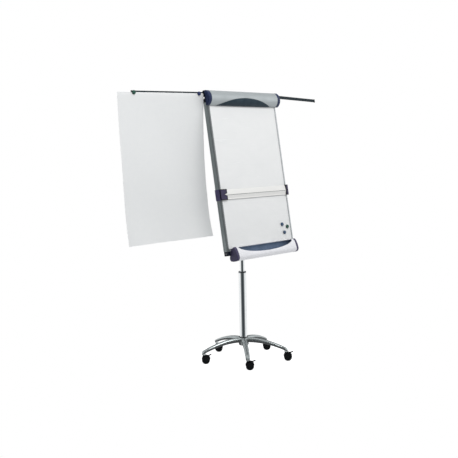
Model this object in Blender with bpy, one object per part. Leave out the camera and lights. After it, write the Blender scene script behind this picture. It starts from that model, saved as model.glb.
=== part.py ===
"""Mobile flipchart easel: a leaning magnetic board on a telescopic column and a five-arm base on castors.

Metres, +Z up, +X to the viewer's right, the front of the board facing -Y. The origin is on the floor under the
middle of the bounding box. Each piece is one named object. Moving pieces hang from an empty on their joint's axis.

Two sets of build coordinates are used:
  column coordinates: origin on the floor on the column's axis
  board coordinates:  x across, y backwards from the board's front face, z up the board from its lower edge
"""

import math

import bmesh
import bpy
from mathutils import Matrix, Vector

# ---------------------------------------------------------------- driving dimensions
GAP = 0.0003

COLUMN_X = 0.0563
COLUMN_Y = -0.0084

LEAN = math.radians(9.0)
PIN_HEIGHT = 1.368
FRONT_TO_PIN = 0.1057
EDGE_TO_PIN = 0.550

BOARD_HALF_WIDTH = 0.350
PROFILE_WIDTH = 0.014
PROFILE_DEPTH = 0.043
PROFILE_WALL = 0.0025
PROFILE_BOTTOM = -0.012
PROFILE_TOP = 1.002
FACE_BOTTOM = 0.004
FACE_TOP = 0.9897
FACE_FRONT = 0.0006
FACE_THICKNESS = 0.001
CORE_THICKNESS = 0.015
CORE_BACK = FACE_FRONT + FACE_THICKNESS + CORE_THICKNESS
RAIL_HEIGHT = 0.030
RAIL_DEPTH = 0.022
RAIL_HEIGHTS = (0.470, 0.600)

CLAMP_HALF_LENGTH = 0.341
CLAMP_CAP_LENGTH = 0.030
CLAMP_WALL = 0.0025
CLAMP_HINGE = Vector((0.0, -0.0105, 1.068))
CLAMP_BACK_RADIUS = 0.0105
CLAMP_LIP = (-0.0040, 0.9770)
CLAMP_ARC_START = (-0.0070, 0.9770)
CLAMP_BULGE = 0.0310
BEAD_RADIUS = 0.0030
SOCKET_INNER = 0.0034
SOCKET_OUTER = 0.0056
TOP_RAIL_HALF_LENGTH = 0.335
LENS_HALF_WIDTH = 0.278
LENS_START = 0.004
LENS_RISE = 0.52

TRAY_HALF_LENGTH = 0.304
TRAY_CAP_LENGTH = 0.022
TRAY_WALL = 0.0022
SCOOP_HALF_WIDTH = 0.285
SCOOP_DEPTH = 0.052

ARM_HINGE_X = 0.352
ARM_HINGE_Y = 0.0140
ARM_HINGE_Z = 1.060
ARM_SWEEP = {"left": math.radians(4.5), "right": math.radians(6.8)}
ARM_LENGTH = 0.592
ARM_HEIGHT = 0.022
ARM_THICKNESS = 0.006
KNUCKLE_RADIUS = 0.0115
HINGE_PIN_RADIUS = 0.0035
CORNER_HEIGHT = 0.0245
KNUCKLE_BOTTOM = 1.039
KNUCKLE_TOP = 1.081

RULER_BOTTOM = 0.336
RULER_TOP = 0.405
SLIDER_BOTTOM = 0.334
SLIDER_TOP = 0.408

SHEET_WIDTH = 0.700
SHEET_DROP = 0.957
SHEET_START = 0.0125
SHEET_RISE = 0.001
SHEET_THICKNESS = 0.0008

MAGNET_RADIUS = 0.0135
MAGNET_HEIGHT = 0.0080
MAGNET_DROP = 0.0010

TUBE_RADIUS = 0.0255
TUBE_WALL = 0.0020
TUBE_BOTTOM = 0.110
TUBE_TOP = 0.633
COLLAR_TOP = 0.639
COLLAR_HEIGHT = 0.011
INNER_RADIUS = 0.0165
INNER_BOTTOM = 0.504
INNER_TOP = 1.320

CASTOR_CIRCLE = 0.308
ARM_ANGLES = (-132.7, -60.7, 11.3, 83.3, 155.3)
BRAKED = (1, 2, 5)
TRAIL_ANGLE = math.radians(-46.9)
TRAIL = 0.0140
WHEEL_RADIUS = 0.0285
WHEEL_WIDTH = 0.0150
WHEEL_INNER_FACE = 0.0062
HOOD_RADIUS = 0.0315
SWIVEL_BOTTOM = 0.0585
SWIVEL_TOP = 0.0620
BOSS_BOTTOM = 0.0625
BOSS_TOP = 0.0780
ARM_TIP_TOP = 0.086
HUB_RADIUS = 0.036
HUB_TOP = 0.156
HUB_BOTTOM = 0.102


# ---------------------------------------------------------------- materials
MATERIALS = {
    "silver_paint": ((0.66, 0.68, 0.70), 0.32, 0.75),
    "anodised": ((0.42, 0.44, 0.45), 0.38, 0.80),
    "enamel": ((0.90, 0.91, 0.91), 0.18, 0.00),
    "backing": ((0.62, 0.64, 0.65), 0.50, 0.30),
    "chrome": ((0.78, 0.80, 0.81), 0.10, 1.00),
    "cast_aluminium": ((0.64, 0.66, 0.66), 0.34, 0.85),
    "navy": ((0.030, 0.036, 0.110), 0.42, 0.00),
    "purple": ((0.075, 0.060, 0.150), 0.42, 0.00),
    "dark_panel": ((0.035, 0.060, 0.085), 0.22, 0.00),
    "tray_blue": ((0.070, 0.085, 0.150), 0.40, 0.00),
    "black": ((0.015, 0.016, 0.018), 0.45, 0.00),
    "black_steel": ((0.020, 0.028, 0.036), 0.35, 0.40),
    "white_plastic": ((0.86, 0.86, 0.84), 0.30, 0.00),
    "bronze_plastic": ((0.22, 0.18, 0.15), 0.50, 0.00),
    "magnet_blue": ((0.090, 0.140, 0.190), 0.35, 0.00),
    "magnet_green": ((0.020, 0.090, 0.060), 0.35, 0.00),
    "paper": ((0.88, 0.89, 0.89), 0.80, 0.00),
    "steel": ((0.55, 0.56, 0.57), 0.30, 1.00),
}


def material(name):
    """Return the named Principled material, made once."""
    found = bpy.data.materials.get(name)
    if found:
        return found
    colour, roughness, metallic = MATERIALS[name]
    made = bpy.data.materials.new(name)
    made.use_nodes = True
    shader = made.node_tree.nodes["Principled BSDF"]
    shader.inputs["Base Color"].default_value = (*colour, 1.0)
    shader.inputs["Roughness"].default_value = roughness
    shader.inputs["Metallic"].default_value = metallic
    return made


# ---------------------------------------------------------------- frames and objects
class Frame:
    """An empty on a joint's axis, with the point of the build coordinates that lies on it."""

    def __init__(self, name, origin, parent=None, turn=(0.0, 0.0, 0.0), location=None):
        self.origin = Vector(origin)
        self.empty = bpy.data.objects.new(name, None)
        bpy.context.collection.objects.link(self.empty)
        if parent:
            self.empty.parent = parent.empty
            self.empty.location = self.origin - parent.origin if location is None else location
        else:
            self.empty.location = Vector(location or (0.0, 0.0, 0.0))
        self.empty.rotation_euler = turn


def piece(name, bm, slot, frame, smooth=35.0):
    """Turn a bmesh in the frame's build coordinates into a named object hanging from the frame."""
    bmesh.ops.translate(bm, verts=bm.verts, vec=-frame.origin)
    bmesh.ops.recalc_face_normals(bm, faces=bm.faces)
    mesh = bpy.data.meshes.new(name)
    bm.to_mesh(mesh)
    bm.free()
    mesh.materials.append(material(slot))
    mesh.shade_smooth()
    mesh.set_sharp_from_angle(angle=math.radians(smooth))
    obj = bpy.data.objects.new(name, mesh)
    bpy.context.collection.objects.link(obj)
    obj.parent = frame.empty
    return obj


def helper(name, bm, frame):
    """A hidden mesh for a Boolean modifier, in the same coordinates as the piece that it cuts or joins."""
    obj = piece(name, bm, "steel", frame)
    obj.hide_render = True
    obj.display_type = "WIRE"
    return obj


def combine(obj, tool, operation):
    """Add an exact Boolean of the helper object to the piece."""
    modifier = obj.modifiers.new(tool.name, "BOOLEAN")
    modifier.operation = operation
    modifier.solver = "EXACT"
    modifier.object = tool


# ---------------------------------------------------------------- shapes
def box(low, high, bevel=0.0, segments=2):
    """A box between two corners, with rounded edges."""
    bm = bmesh.new()
    bmesh.ops.create_cube(bm, size=1.0)
    size = Vector(high) - Vector(low)
    middle = (Vector(high) + Vector(low)) / 2
    bmesh.ops.transform(bm, matrix=Matrix.Translation(middle) @ Matrix.Diagonal((*size, 1.0)), verts=bm.verts)
    if bevel:
        bmesh.ops.bevel(
            bm, geom=bm.edges[:], offset=bevel, segments=segments, profile=0.5, affect="EDGES", clamp_overlap=True
        )
    return bm


def prism(outline, start, end, bevel=0.0, segments=1):
    """Extrude an outline of (y, z) points along X, and round the rims of its ends."""
    bm = bmesh.new()
    face = bm.faces.new([bm.verts.new((start, y, z)) for y, z in outline])
    moved = bmesh.ops.extrude_face_region(bm, geom=[face])["geom"]
    bmesh.ops.translate(bm, vec=(end - start, 0, 0), verts=[v for v in moved if isinstance(v, bmesh.types.BMVert)])
    if bevel:
        rims = [e for e in bm.edges if abs(e.verts[0].co.x - e.verts[1].co.x) < 1e-7]
        bmesh.ops.bevel(bm, geom=rims, offset=bevel, segments=segments, profile=0.5, affect="EDGES")
    return bm


def upright(outline, bottom, top, bevel=0.0, segments=1):
    """Extrude an outline of (x, y) points along Z."""
    bm = prism([(p[0], p[1]) for p in outline], bottom, top, bevel, segments)
    turn = Matrix(((0, 1, 0, 0), (0, 0, 1, 0), (1, 0, 0, 0), (0, 0, 0, 1)))
    bmesh.ops.transform(bm, matrix=turn, verts=bm.verts)
    return bm


def sideways(bm):
    """Swap X and Y, so that a prism's outline lies in the (x, z) plane instead."""
    swap = Matrix(((0, 1, 0, 0), (1, 0, 0, 0), (0, 0, 1, 0), (0, 0, 0, 1)))
    bmesh.ops.transform(bm, matrix=swap, verts=bm.verts)
    return bm


def turned(profile, steps, axis="Z", centre=(0.0, 0.0, 0.0)):
    """Turn a closed profile of (radius, height) points about an axis through centre."""
    bm = bmesh.new()
    rings = []
    for k in range(steps):
        angle = math.tau * k / steps
        rings.append([bm.verts.new((r * math.cos(angle), r * math.sin(angle), h)) for r, h in profile if r > 0])
    count = len(rings[0])
    closed = all(r > 0 for r, h in profile)
    spans = count if closed else count - 1
    for k in range(steps):
        here, following = rings[k], rings[(k + 1) % steps]
        for i in range(spans):
            j = (i + 1) % count
            bm.faces.new((here[i], following[i], following[j], here[j]))
    if not closed:
        bm.faces.new([ring[0] for ring in rings])
        bm.faces.new([ring[-1] for ring in reversed(rings)])
    if axis == "X":
        bmesh.ops.transform(bm, matrix=Matrix.Rotation(math.pi / 2, 4, "Y"), verts=bm.verts)
    if axis == "Y":
        bmesh.ops.transform(bm, matrix=Matrix.Rotation(-math.pi / 2, 4, "X"), verts=bm.verts)
    bmesh.ops.translate(bm, vec=centre, verts=bm.verts)
    return bm


def solid_round(radius, bottom, top, steps, axis="Z", centre=(0.0, 0.0, 0.0), rim=0.0):
    """A round bar or disc with chamfered rims."""
    rim = rim or radius * 0.02
    profile = [(0, bottom), (radius - rim, bottom), (radius, bottom + rim), (radius, top - rim), (radius - rim, top)]
    return turned(profile + [(0, top)], steps, axis, centre)


def tube(outer, inner, bottom, top, steps, axis="Z", centre=(0.0, 0.0, 0.0)):
    """A plain tube."""
    return turned([(inner, bottom), (outer, bottom), (outer, top), (inner, top)], steps, axis, centre)


def arc(centre, radius, start, end, steps):
    """Points on an arc; angles in degrees from +y towards +z."""
    angles = [math.radians(start + (end - start) * k / steps) for k in range(steps + 1)]
    return [(centre[0] + radius * math.cos(a), centre[1] + radius * math.sin(a)) for a in angles]


def bulged_arc(start, end, bulge, steps):
    """Points on a circle's arc from start to end that stands off its chord by bulge, to the left of the way."""
    a, b = Vector(start), Vector(end)
    chord = b - a
    half = chord.length / 2
    radius = (half * half + bulge * bulge) / (2 * bulge)
    normal = Vector((-chord.y, chord.x)).normalized()
    centre = (a + b) / 2 - normal * (radius - bulge)
    opening = math.asin(min(1.0, half / radius))
    if bulge > radius:
        opening = math.pi - opening
    middle = math.atan2(normal.y, normal.x)
    angles = [middle + opening * (1 - 2 * k / steps) for k in range(steps + 1)]
    return [(centre.x + radius * math.cos(a), centre.y + radius * math.sin(a)) for a in angles]


def smooth_curve(points, per_span):
    """Points on a Catmull-Rom curve through the given ones."""
    ends = [2 * Vector(points[0]) - Vector(points[1]), 2 * Vector(points[-1]) - Vector(points[-2])]
    p = [ends[0], *[Vector(q) for q in points], ends[1]]
    out = []
    for k in range(1, len(p) - 2):
        for s in range(per_span):
            t = s / per_span
            out.append(
                0.5
                * (
                    2 * p[k]
                    + (p[k + 1] - p[k - 1]) * t
                    + (2 * p[k - 1] - 5 * p[k] + 4 * p[k + 1] - p[k + 2]) * t * t
                    + (3 * p[k] - p[k - 1] - 3 * p[k + 1] + p[k + 2]) * t * t * t
                )
            )
    return [tuple(q) for q in out] + [tuple(points[-1])]


def smooth_loop(points, per_span):
    """Points on a closed Catmull-Rom curve through the given ones."""
    wrapped = [*points[-2:], *points, *points[:2]]
    start = 2 * per_span
    return smooth_curve(wrapped, per_span)[start : start + len(points) * per_span]


def at(outline, share):
    """The point and the left-hand normal at a share of an open outline's length."""
    lengths = [(Vector(b) - Vector(a)).length for a, b in zip(outline, outline[1:])]
    left = max(0.0, min(1.0, share)) * sum(lengths)
    for k, length in enumerate(lengths):
        if left <= length or k == len(lengths) - 1:
            break
        left -= length
    a, b = Vector(outline[k]), Vector(outline[k + 1])
    way = (b - a).normalized()
    return a + way * left, Vector((-way.y, way.x))


def offset_outline(outline, distance):
    """An open outline moved to its left by distance."""
    out = []
    for k, point in enumerate(outline):
        before = Vector(outline[max(0, k - 1)])
        after = Vector(outline[min(len(outline) - 1, k + 1)])
        way = (after - before).normalized()
        out.append((point[0] - way.y * distance, point[1] + way.x * distance))
    return out


def shell(near, far):
    """Join two equal grids of points into one closed shell: both faces and the rim between them."""
    bm = bmesh.new()
    grids = [[[bm.verts.new(point) for point in row] for row in grid] for grid in (near, far)]
    rows, columns = len(near), len(near[0])
    for grid in grids:
        for i in range(rows - 1):
            for k in range(columns - 1):
                bm.faces.new((grid[i][k], grid[i + 1][k], grid[i + 1][k + 1], grid[i][k + 1]))
    a, b = grids
    for i in range(rows - 1):
        for k in (0, columns - 1):
            bm.faces.new((a[i][k], b[i][k], b[i + 1][k], a[i + 1][k]))
    for i in (0, rows - 1):
        for k in range(columns - 1):
            bm.faces.new((a[i][k], a[i][k + 1], b[i][k + 1], b[i][k]))
    return bm


def off_outline(outline, x, share, distance):
    """A point at x, at a share of an outline that runs along X, standing off it to its left."""
    point, normal = at(outline, share)
    return (x, point.x + normal.x * distance, point.y + normal.y * distance)


def offset_loop(outline, distance):
    """A closed outline moved to its left by distance."""
    return offset_outline([outline[-1], *outline, outline[0]], distance)[1:-1]


def pipe(outer, inner, start, end):
    """A pipe along X between two equal closed outlines."""
    bm = bmesh.new()
    rims = [[bm.verts.new((x, y, z)) for y, z in loop] for x in (start, end) for loop in (outer, inner)]
    for a, b in ((0, 1), (2, 3), (0, 2), (1, 3)):
        for i in range(len(outer)):
            j = (i + 1) % len(outer)
            bm.faces.new((rims[a][i], rims[a][j], rims[b][j], rims[b][i]))
    return bm


def lens(outline, shares, half_width, columns, near, far):
    """A shell on an outline that runs along X; each share's row reaches half_width(share) to either side."""

    def grid(distance):
        return [[off_outline(outline, x, s, distance) for x in spread(half_width(s), columns)] for s in shares]

    return shell(grid(near), grid(far))


def spread(half, count):
    """Evenly spaced stations from -half to half."""
    return [half * (2 * k / (count - 1) - 1) for k in range(count)]


# ---------------------------------------------------------------- base and castors
def base_arm(angle):
    """One arched arm of the base, from the hub to past its castor stem, with a rounded crown."""
    bm = bmesh.new()
    start, end = 0.012, CASTOR_CIRCLE + 0.014
    rings = []
    for k in range(10):
        t = k / 9
        radius = start + (end - start) * t
        fall = max(0.0, (radius - HUB_RADIUS) / (end - HUB_RADIUS))
        top = HUB_TOP + 0.002 - (HUB_TOP + 0.002 - ARM_TIP_TOP) * fall**1.9
        depth = 0.034 - 0.015 * t
        half = 0.0205 - 0.0045 * t
        if k == 9:
            half *= 0.62
            top -= 0.002
            depth -= 0.004
        section = [
            (-half * 0.88, top - depth),
            (-half, top - depth * 0.45),
            (-half * 0.80, top - depth * 0.14),
            (-half * 0.35, top),
            (half * 0.35, top),
            (half * 0.80, top - depth * 0.14),
            (half, top - depth * 0.45),
            (half * 0.88, top - depth),
        ]
        rings.append([bm.verts.new((radius, y, z)) for y, z in section])
    for here, following in zip(rings, rings[1:]):
        for i in range(len(here)):
            j = (i + 1) % len(here)
            bm.faces.new((here[i], following[i], following[j], here[j]))
    bm.faces.new(rings[0])
    bm.faces.new(list(reversed(rings[-1])))
    bmesh.ops.transform(bm, matrix=Matrix.Rotation(math.radians(angle), 4, "Z"), verts=bm.verts)
    return bm


def star_base(frame):
    """Hub, five arms and five stem bosses joined into one casting, bored for the column and the stems."""
    profile = [
        (0, HUB_BOTTOM),
        (HUB_RADIUS - 0.004, HUB_BOTTOM),
        (HUB_RADIUS, HUB_BOTTOM + 0.004),
        (HUB_RADIUS, HUB_TOP - 0.003),
        (HUB_RADIUS - 0.004, HUB_TOP + 0.004),
        (0, HUB_TOP + 0.004),
    ]
    base = piece("star_base", turned(profile, 24), "cast_aluminium", frame)
    bore = helper("column_bore", solid_round(TUBE_RADIUS + GAP, TUBE_BOTTOM - GAP, HUB_TOP + 0.02, 24), frame)
    for number, angle in enumerate(ARM_ANGLES, 1):
        combine(base, helper(f"arm_{number}", base_arm(angle), frame), "UNION")
        tip = Matrix.Rotation(math.radians(angle), 4, "Z") @ Vector((CASTOR_CIRCLE, 0, 0))
        boss = solid_round(0.0125, BOSS_BOTTOM, BOSS_TOP, 14, centre=tip, rim=0.0012)
        combine(base, helper(f"boss_{number}", boss, frame), "UNION")
    for number, angle in enumerate(ARM_ANGLES, 1):
        tip = Matrix.Rotation(math.radians(angle), 4, "Z") @ Vector((CASTOR_CIRCLE, 0, 0))
        hole = solid_round(0.0053, BOSS_BOTTOM - 0.006, BOSS_TOP - 0.0005, 10, centre=tip)
        combine(base, helper(f"stem_hole_{number}", hole, frame), "DIFFERENCE")
    combine(base, bore, "DIFFERENCE")


def castor_hood(number, frame):
    """Stem, swivel boss, the web between the wheels and the hood over them, bored for the axle."""
    axle = Vector((TRAIL, 0.0, WHEEL_RADIUS))
    half = WHEEL_INNER_FACE - 0.0004
    web = [(TRAIL - 0.006, 0.016), (TRAIL + 0.006, 0.016)]
    web += arc((TRAIL, WHEEL_RADIUS), 0.8 * WHEEL_RADIUS, -30, 90, 4)
    web += [(0.0085, 0.0600), (-0.0085, 0.0600), (-0.0085, 0.0400)]
    hood = piece(f"castor_hood_{number}", sideways(prism(web, -half, half)), "black", frame)
    clear = WHEEL_RADIUS + 0.0010
    cover = arc((TRAIL, WHEEL_RADIUS), HOOD_RADIUS, 12, 168, 8) + arc((TRAIL, WHEEL_RADIUS), clear, 168, 12, 8)
    cover = sideways(prism(cover, -WHEEL_INNER_FACE - WHEEL_WIDTH, WHEEL_INNER_FACE + WHEEL_WIDTH))
    combine(hood, helper(f"hood_cover_{number}", cover, frame), "UNION")
    rib = box((TRAIL - 0.012, -half, 0.0400), (TRAIL + 0.012, half, 0.0590))
    combine(hood, helper(f"hood_rib_{number}", rib, frame), "UNION")
    boss = solid_round(0.0095, SWIVEL_BOTTOM, SWIVEL_TOP, 12, rim=0.0006)
    combine(hood, helper(f"swivel_boss_{number}", boss, frame), "UNION")
    stem = solid_round(0.0050, SWIVEL_BOTTOM - 0.003, BOSS_TOP - 0.0015, 10, rim=0.0008)
    combine(hood, helper(f"stem_{number}", stem, frame), "UNION")
    bore = solid_round(0.0033, -0.02, 0.02, 10, "Y", axle)
    combine(hood, helper(f"axle_bore_{number}", bore, frame), "DIFFERENCE")


def castor_wheels(number, frame):
    """Two wheels on one axle."""
    inner, outer = WHEEL_INNER_FACE, WHEEL_INNER_FACE + WHEEL_WIDTH
    r = WHEEL_RADIUS
    half_profile = [
        (0.0030, inner),
        (r - 0.0018, inner),
        (r, inner + 0.002),
        (r, outer - 0.003),
        (r - 0.0022, outer),
        (r * 0.68, outer),
        (r * 0.62, outer - 0.003),
        (0, outer - 0.003),
    ]
    mirrored = [(radius, -height) for radius, height in reversed(half_profile)]
    piece(f"castor_wheels_{number}", turned(mirrored + half_profile, 16, "Y", frame.origin), "black", frame)


def castor_brake(number, frame):
    """Foot lever that presses on the wheels, hinged behind the swivel boss."""
    outline = [
        (TRAIL + 0.0125, 0.0605),
        (TRAIL + 0.0165, 0.0568),
        (TRAIL + 0.0255, 0.0575),
        (TRAIL + 0.0395, 0.0640),
        (TRAIL + 0.0385, 0.0675),
        (TRAIL + 0.0240, 0.0620),
    ]
    piece(f"castor_brake_{number}", sideways(prism(outline, -0.0085, 0.0085, 0.0008)), "black", frame)


def castors(base):
    """Five swivel castors; the three towards the front carry brake levers."""
    for number, angle in enumerate(ARM_ANGLES, 1):
        tip = Matrix.Rotation(math.radians(angle), 4, "Z") @ Vector((CASTOR_CIRCLE, 0, 0))
        turn = (0.0, 0.0, TRAIL_ANGLE)
        swivel = Frame(f"castor_{number}_swivel_axis", (0, 0, 0), base, turn, tip)
        castor_hood(number, swivel)
        castor_wheels(number, Frame(f"castor_{number}_wheel_axis", (TRAIL, 0, WHEEL_RADIUS), swivel))
        if number in BRAKED:
            castor_brake(number, Frame(f"castor_{number}_brake_axis", (TRAIL + 0.0145, 0, 0.0590), swivel))


# ---------------------------------------------------------------- column
def column(base):
    """Outer tube, twist collar with its collet, inner tube with its guide bush and the head on top."""
    piece("outer_tube", tube(TUBE_RADIUS, TUBE_RADIUS - TUBE_WALL, TUBE_BOTTOM, TUBE_TOP, 24), "chrome", base)
    collar = [
        (TUBE_RADIUS + GAP, COLLAR_TOP - COLLAR_HEIGHT),
        (TUBE_RADIUS + 0.0020, COLLAR_TOP - COLLAR_HEIGHT),
        (TUBE_RADIUS + 0.0024, COLLAR_TOP - COLLAR_HEIGHT + 0.0010),
        (TUBE_RADIUS + 0.0024, COLLAR_TOP - 0.0010),
        (TUBE_RADIUS + 0.0012, COLLAR_TOP),
        (INNER_RADIUS + 0.0006, COLLAR_TOP),
        (INNER_RADIUS + 0.0006, TUBE_TOP + GAP),
        (TUBE_RADIUS + GAP, TUBE_TOP + GAP),
    ]
    lock = Frame("collar_axis", (0, 0, COLLAR_TOP - COLLAR_HEIGHT / 2), base)
    piece("lock_collar", turned(collar, 24), "black", lock)
    piece("lock_collet", collet(), "white_plastic", base)

    lift = Frame("lift_axis", (0, 0, 0.9), base)
    piece("inner_tube", tube(INNER_RADIUS, INNER_RADIUS - 0.0018, INNER_BOTTOM, INNER_TOP, 24), "chrome", lift)
    bush = tube(TUBE_RADIUS - TUBE_WALL - GAP, INNER_RADIUS + GAP, INNER_BOTTOM + 0.004, INNER_BOTTOM + 0.034, 24)
    piece("guide_bush", bush, "white_plastic", lift)
    tilt_head(lift)
    return lift


def collet():
    """Split sleeve that the collar squeezes onto the inner tube."""
    outer, inner = TUBE_RADIUS - TUBE_WALL - GAP, INNER_RADIUS + 0.0004
    outline = arc((0, 0), outer, 12, 348, 22) + arc((0, 0), inner, 348, 12, 22)
    return upright(outline, TUBE_TOP - 0.034, TUBE_TOP - 0.001)


def tilt_head(frame):
    """Socket on the inner tube's top with a tongue, bored for the tilt pin."""
    socket = [
        (INNER_RADIUS + GAP, INNER_TOP - 0.048),
        (INNER_RADIUS + 0.0050, INNER_TOP - 0.048),
        (INNER_RADIUS + 0.0062, INNER_TOP - 0.044),
        (INNER_RADIUS + 0.0062, INNER_TOP + 0.006),
        (INNER_RADIUS + 0.0030, INNER_TOP + 0.010),
        (0, INNER_TOP + 0.010),
    ]
    wall = [(0, INNER_TOP + GAP), (INNER_RADIUS + GAP, INNER_TOP + GAP)]
    head = piece("tilt_head", turned(wall + socket, 24), "cast_aluminium", frame)
    foot = [(-0.017, INNER_TOP + 0.004), (0.017, INNER_TOP + 0.004)]
    tongue = foot + arc((0.0, PIN_HEIGHT), 0.015, -5, 185, 8)
    combine(head, helper("tilt_tongue", prism(tongue, -0.010, 0.010), frame), "UNION")
    bore = solid_round(0.0053, -0.03, 0.03, 12, "X", (0, 0, PIN_HEIGHT))
    combine(head, helper("tilt_bore", bore, frame), "DIFFERENCE")


# ---------------------------------------------------------------- board
def side_profile(name, side, frame):
    """Upright C-section that holds the board's edge; a rounded outer wall with lips at front and back."""
    outer = BOARD_HALF_WIDTH
    inner = BOARD_HALF_WIDTH - PROFILE_WIDTH
    front, back, wall = -0.0020, PROFILE_DEPTH - 0.002, PROFILE_WALL
    outline = [
        (inner, front),
        (outer - 0.003, front),
        (outer - 0.0008, front + 0.0012),
        (outer, front + 0.004),
        (outer, back - 0.006),
        (outer - 0.0020, back - 0.0018),
        (outer - 0.0060, back),
        (inner, back),
        (inner, back - wall),
        (outer - 0.0060, back - wall),
        (outer - wall, back - 0.0065),
        (outer - wall, front + wall),
        (inner, front + wall),
    ]
    bm = upright([(side * x, y) for x, y in outline], PROFILE_BOTTOM, PROFILE_TOP)
    piece(name, bm, "anodised", frame)


def back_rail(name, height, frame):
    """Flat rectangular tube across the back, between the side profiles."""
    front = CORE_BACK + 0.0006
    half = BOARD_HALF_WIDTH - PROFILE_WIDTH - 0.001
    low, high = (front, height), (front + RAIL_DEPTH, height + RAIL_HEIGHT)
    bm = box((-half, low[0], low[1]), (half, high[0], high[1]), 0.0015, 1)
    rail = piece(name, bm, "anodised", frame)
    wall = 0.0018
    hollow = box((-half - 0.01, low[0] + wall, low[1] + wall), (half + 0.01, high[0] - wall, high[1] - wall))
    combine(rail, helper(name + "_hollow", hollow, frame), "DIFFERENCE")


def tilt_yoke(frame):
    """Plate on the two back rails with two ears that reach back to the tilt pin."""
    plate_y = CORE_BACK + 0.0006 + RAIL_DEPTH + GAP
    low, high = RAIL_HEIGHTS[0] + 0.002, RAIL_HEIGHTS[1] + RAIL_HEIGHT - 0.002
    bm = box((-0.060, plate_y, low), (0.060, plate_y + 0.003, high), 0.0008, 1)
    yoke = piece("tilt_yoke", bm, "silver_paint", frame)
    for side in (-1, 1):
        ear = [(plate_y + 0.001, EDGE_TO_PIN - 0.045), *arc((FRONT_TO_PIN, EDGE_TO_PIN), 0.016, -60, 60, 8)]
        ear += [(plate_y + 0.001, EDGE_TO_PIN + 0.045)]
        bm = prism(ear, side * 0.0104, side * 0.0154)
        combine(yoke, helper(f"yoke_ear_{side + 1}", bm, frame), "UNION")
    bore = solid_round(0.0053, -0.03, 0.03, 12, "X", (0, FRONT_TO_PIN, EDGE_TO_PIN))
    combine(yoke, helper("yoke_bore", bore, frame), "DIFFERENCE")


def tilt_hardware(frame):
    """Tilt pin with its head, and the star knob that clamps the joint."""
    pin = [(0, -0.0205), (0.0085, -0.0205), (0.0090, -0.0200), (0.0090, -0.0160), (0.0050, -0.0160)]
    pin += [(0.0050, 0.0300), (0, 0.0300)]
    centre = (0, FRONT_TO_PIN, EDGE_TO_PIN)
    piece("tilt_pin", turned(pin, 12, "X", centre), "steel", frame)
    knob_frame = Frame("tilt_knob_axis", (0.030, FRONT_TO_PIN, EDGE_TO_PIN), frame)
    outline = []
    for k in range(24):
        angle = math.tau * k / 24
        radius = 0.0175 + 0.0022 * math.cos(6 * angle)
        outline.append((FRONT_TO_PIN + radius * math.cos(angle), EDGE_TO_PIN + radius * math.sin(angle)))
    knob = piece("tilt_knob", prism(outline, 0.0165, 0.0345, 0.0015), "black", knob_frame)
    bore = solid_round(0.0054, 0.010, 0.0305, 12, "X", centre)
    combine(knob, helper("knob_bore", bore, knob_frame), "DIFFERENCE")


def board(frame):
    """Enamelled face, its core, the side profiles, back rails and lower rail."""
    inner = BOARD_HALF_WIDTH - PROFILE_WIDTH
    core_half = BOARD_HALF_WIDTH - PROFILE_WALL - 0.0015
    front, back = FACE_FRONT, FACE_FRONT + FACE_THICKNESS
    bm = box((-inner + GAP * 2, front, FACE_BOTTOM), (inner - GAP * 2, back, FACE_TOP))
    piece("board_face", bm, "enamel", frame)
    bm = box((-core_half, back + GAP, FACE_BOTTOM), (core_half, CORE_BACK, FACE_TOP))
    piece("board_core", bm, "backing", frame)
    for name, side in (("left", -1), ("right", 1)):
        side_profile(f"side_profile_{name}", side, frame)
    for name, height in zip(("lower", "upper"), RAIL_HEIGHTS):
        back_rail(f"back_rail_{name}", height, frame)
    bm = box((-inner + 0.001, 0.0095, -0.034), (inner - 0.001, 0.030, FACE_BOTTOM - 2 * GAP), 0.0015, 1)
    piece("bottom_rail", bm, "anodised", frame)
    tilt_yoke(frame)
    tilt_hardware(frame)


def corner_bottom(name, side, frame):
    """End block of the lower rail; it carries the tray's end and closes the side profile."""
    x_in, x_out = TRAY_HALF_LENGTH + TRAY_CAP_LENGTH + GAP * 2, BOARD_HALF_WIDTH
    low = (min(side * x_in, side * x_out), -0.0030, -0.042)
    high = (max(side * x_in, side * x_out), 0.0360, PROFILE_BOTTOM - GAP)
    block = piece(f"corner_bottom_{name}", box(low, high, 0.003), "navy", frame)
    half = BOARD_HALF_WIDTH - PROFILE_WIDTH
    seat = box((-half, 0.0090, -0.036), (half, 0.0305, 0.01))
    combine(block, helper(f"rail_seat_{name}", seat, frame), "DIFFERENCE")


def corner_top(name, side, frame):
    """Plug of the side profile with a round boss and the upright pin that the arm turns on."""
    x_in, x_out = BOARD_HALF_WIDTH - PROFILE_WIDTH, BOARD_HALF_WIDTH
    low = (min(side * x_in, side * x_out), -0.0015, PROFILE_TOP + GAP)
    high = (max(side * x_in, side * x_out), PROFILE_DEPTH - 0.002, PROFILE_TOP + CORNER_HEIGHT)
    plug = piece(f"corner_top_{name}", box(low, high, 0.003), "navy", frame)
    centre = (side * ARM_HINGE_X, ARM_HINGE_Y, 0)
    boss = solid_round(KNUCKLE_RADIUS, low[2], high[2], 20, centre=centre, rim=0.0015)
    combine(plug, helper(f"hinge_boss_{name}", boss, frame), "UNION")
    pin = solid_round(HINGE_PIN_RADIUS, high[2] - 0.006, KNUCKLE_TOP - 0.001, 12, centre=centre, rim=0.0006)
    combine(plug, helper(f"hinge_pin_{name}", pin, frame), "UNION")


def corners(frame):
    """Plastic end blocks on the side profiles."""
    for name, side in (("left", -1), ("right", 1)):
        corner_bottom(name, side, frame)
        corner_top(name, side, frame)


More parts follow.
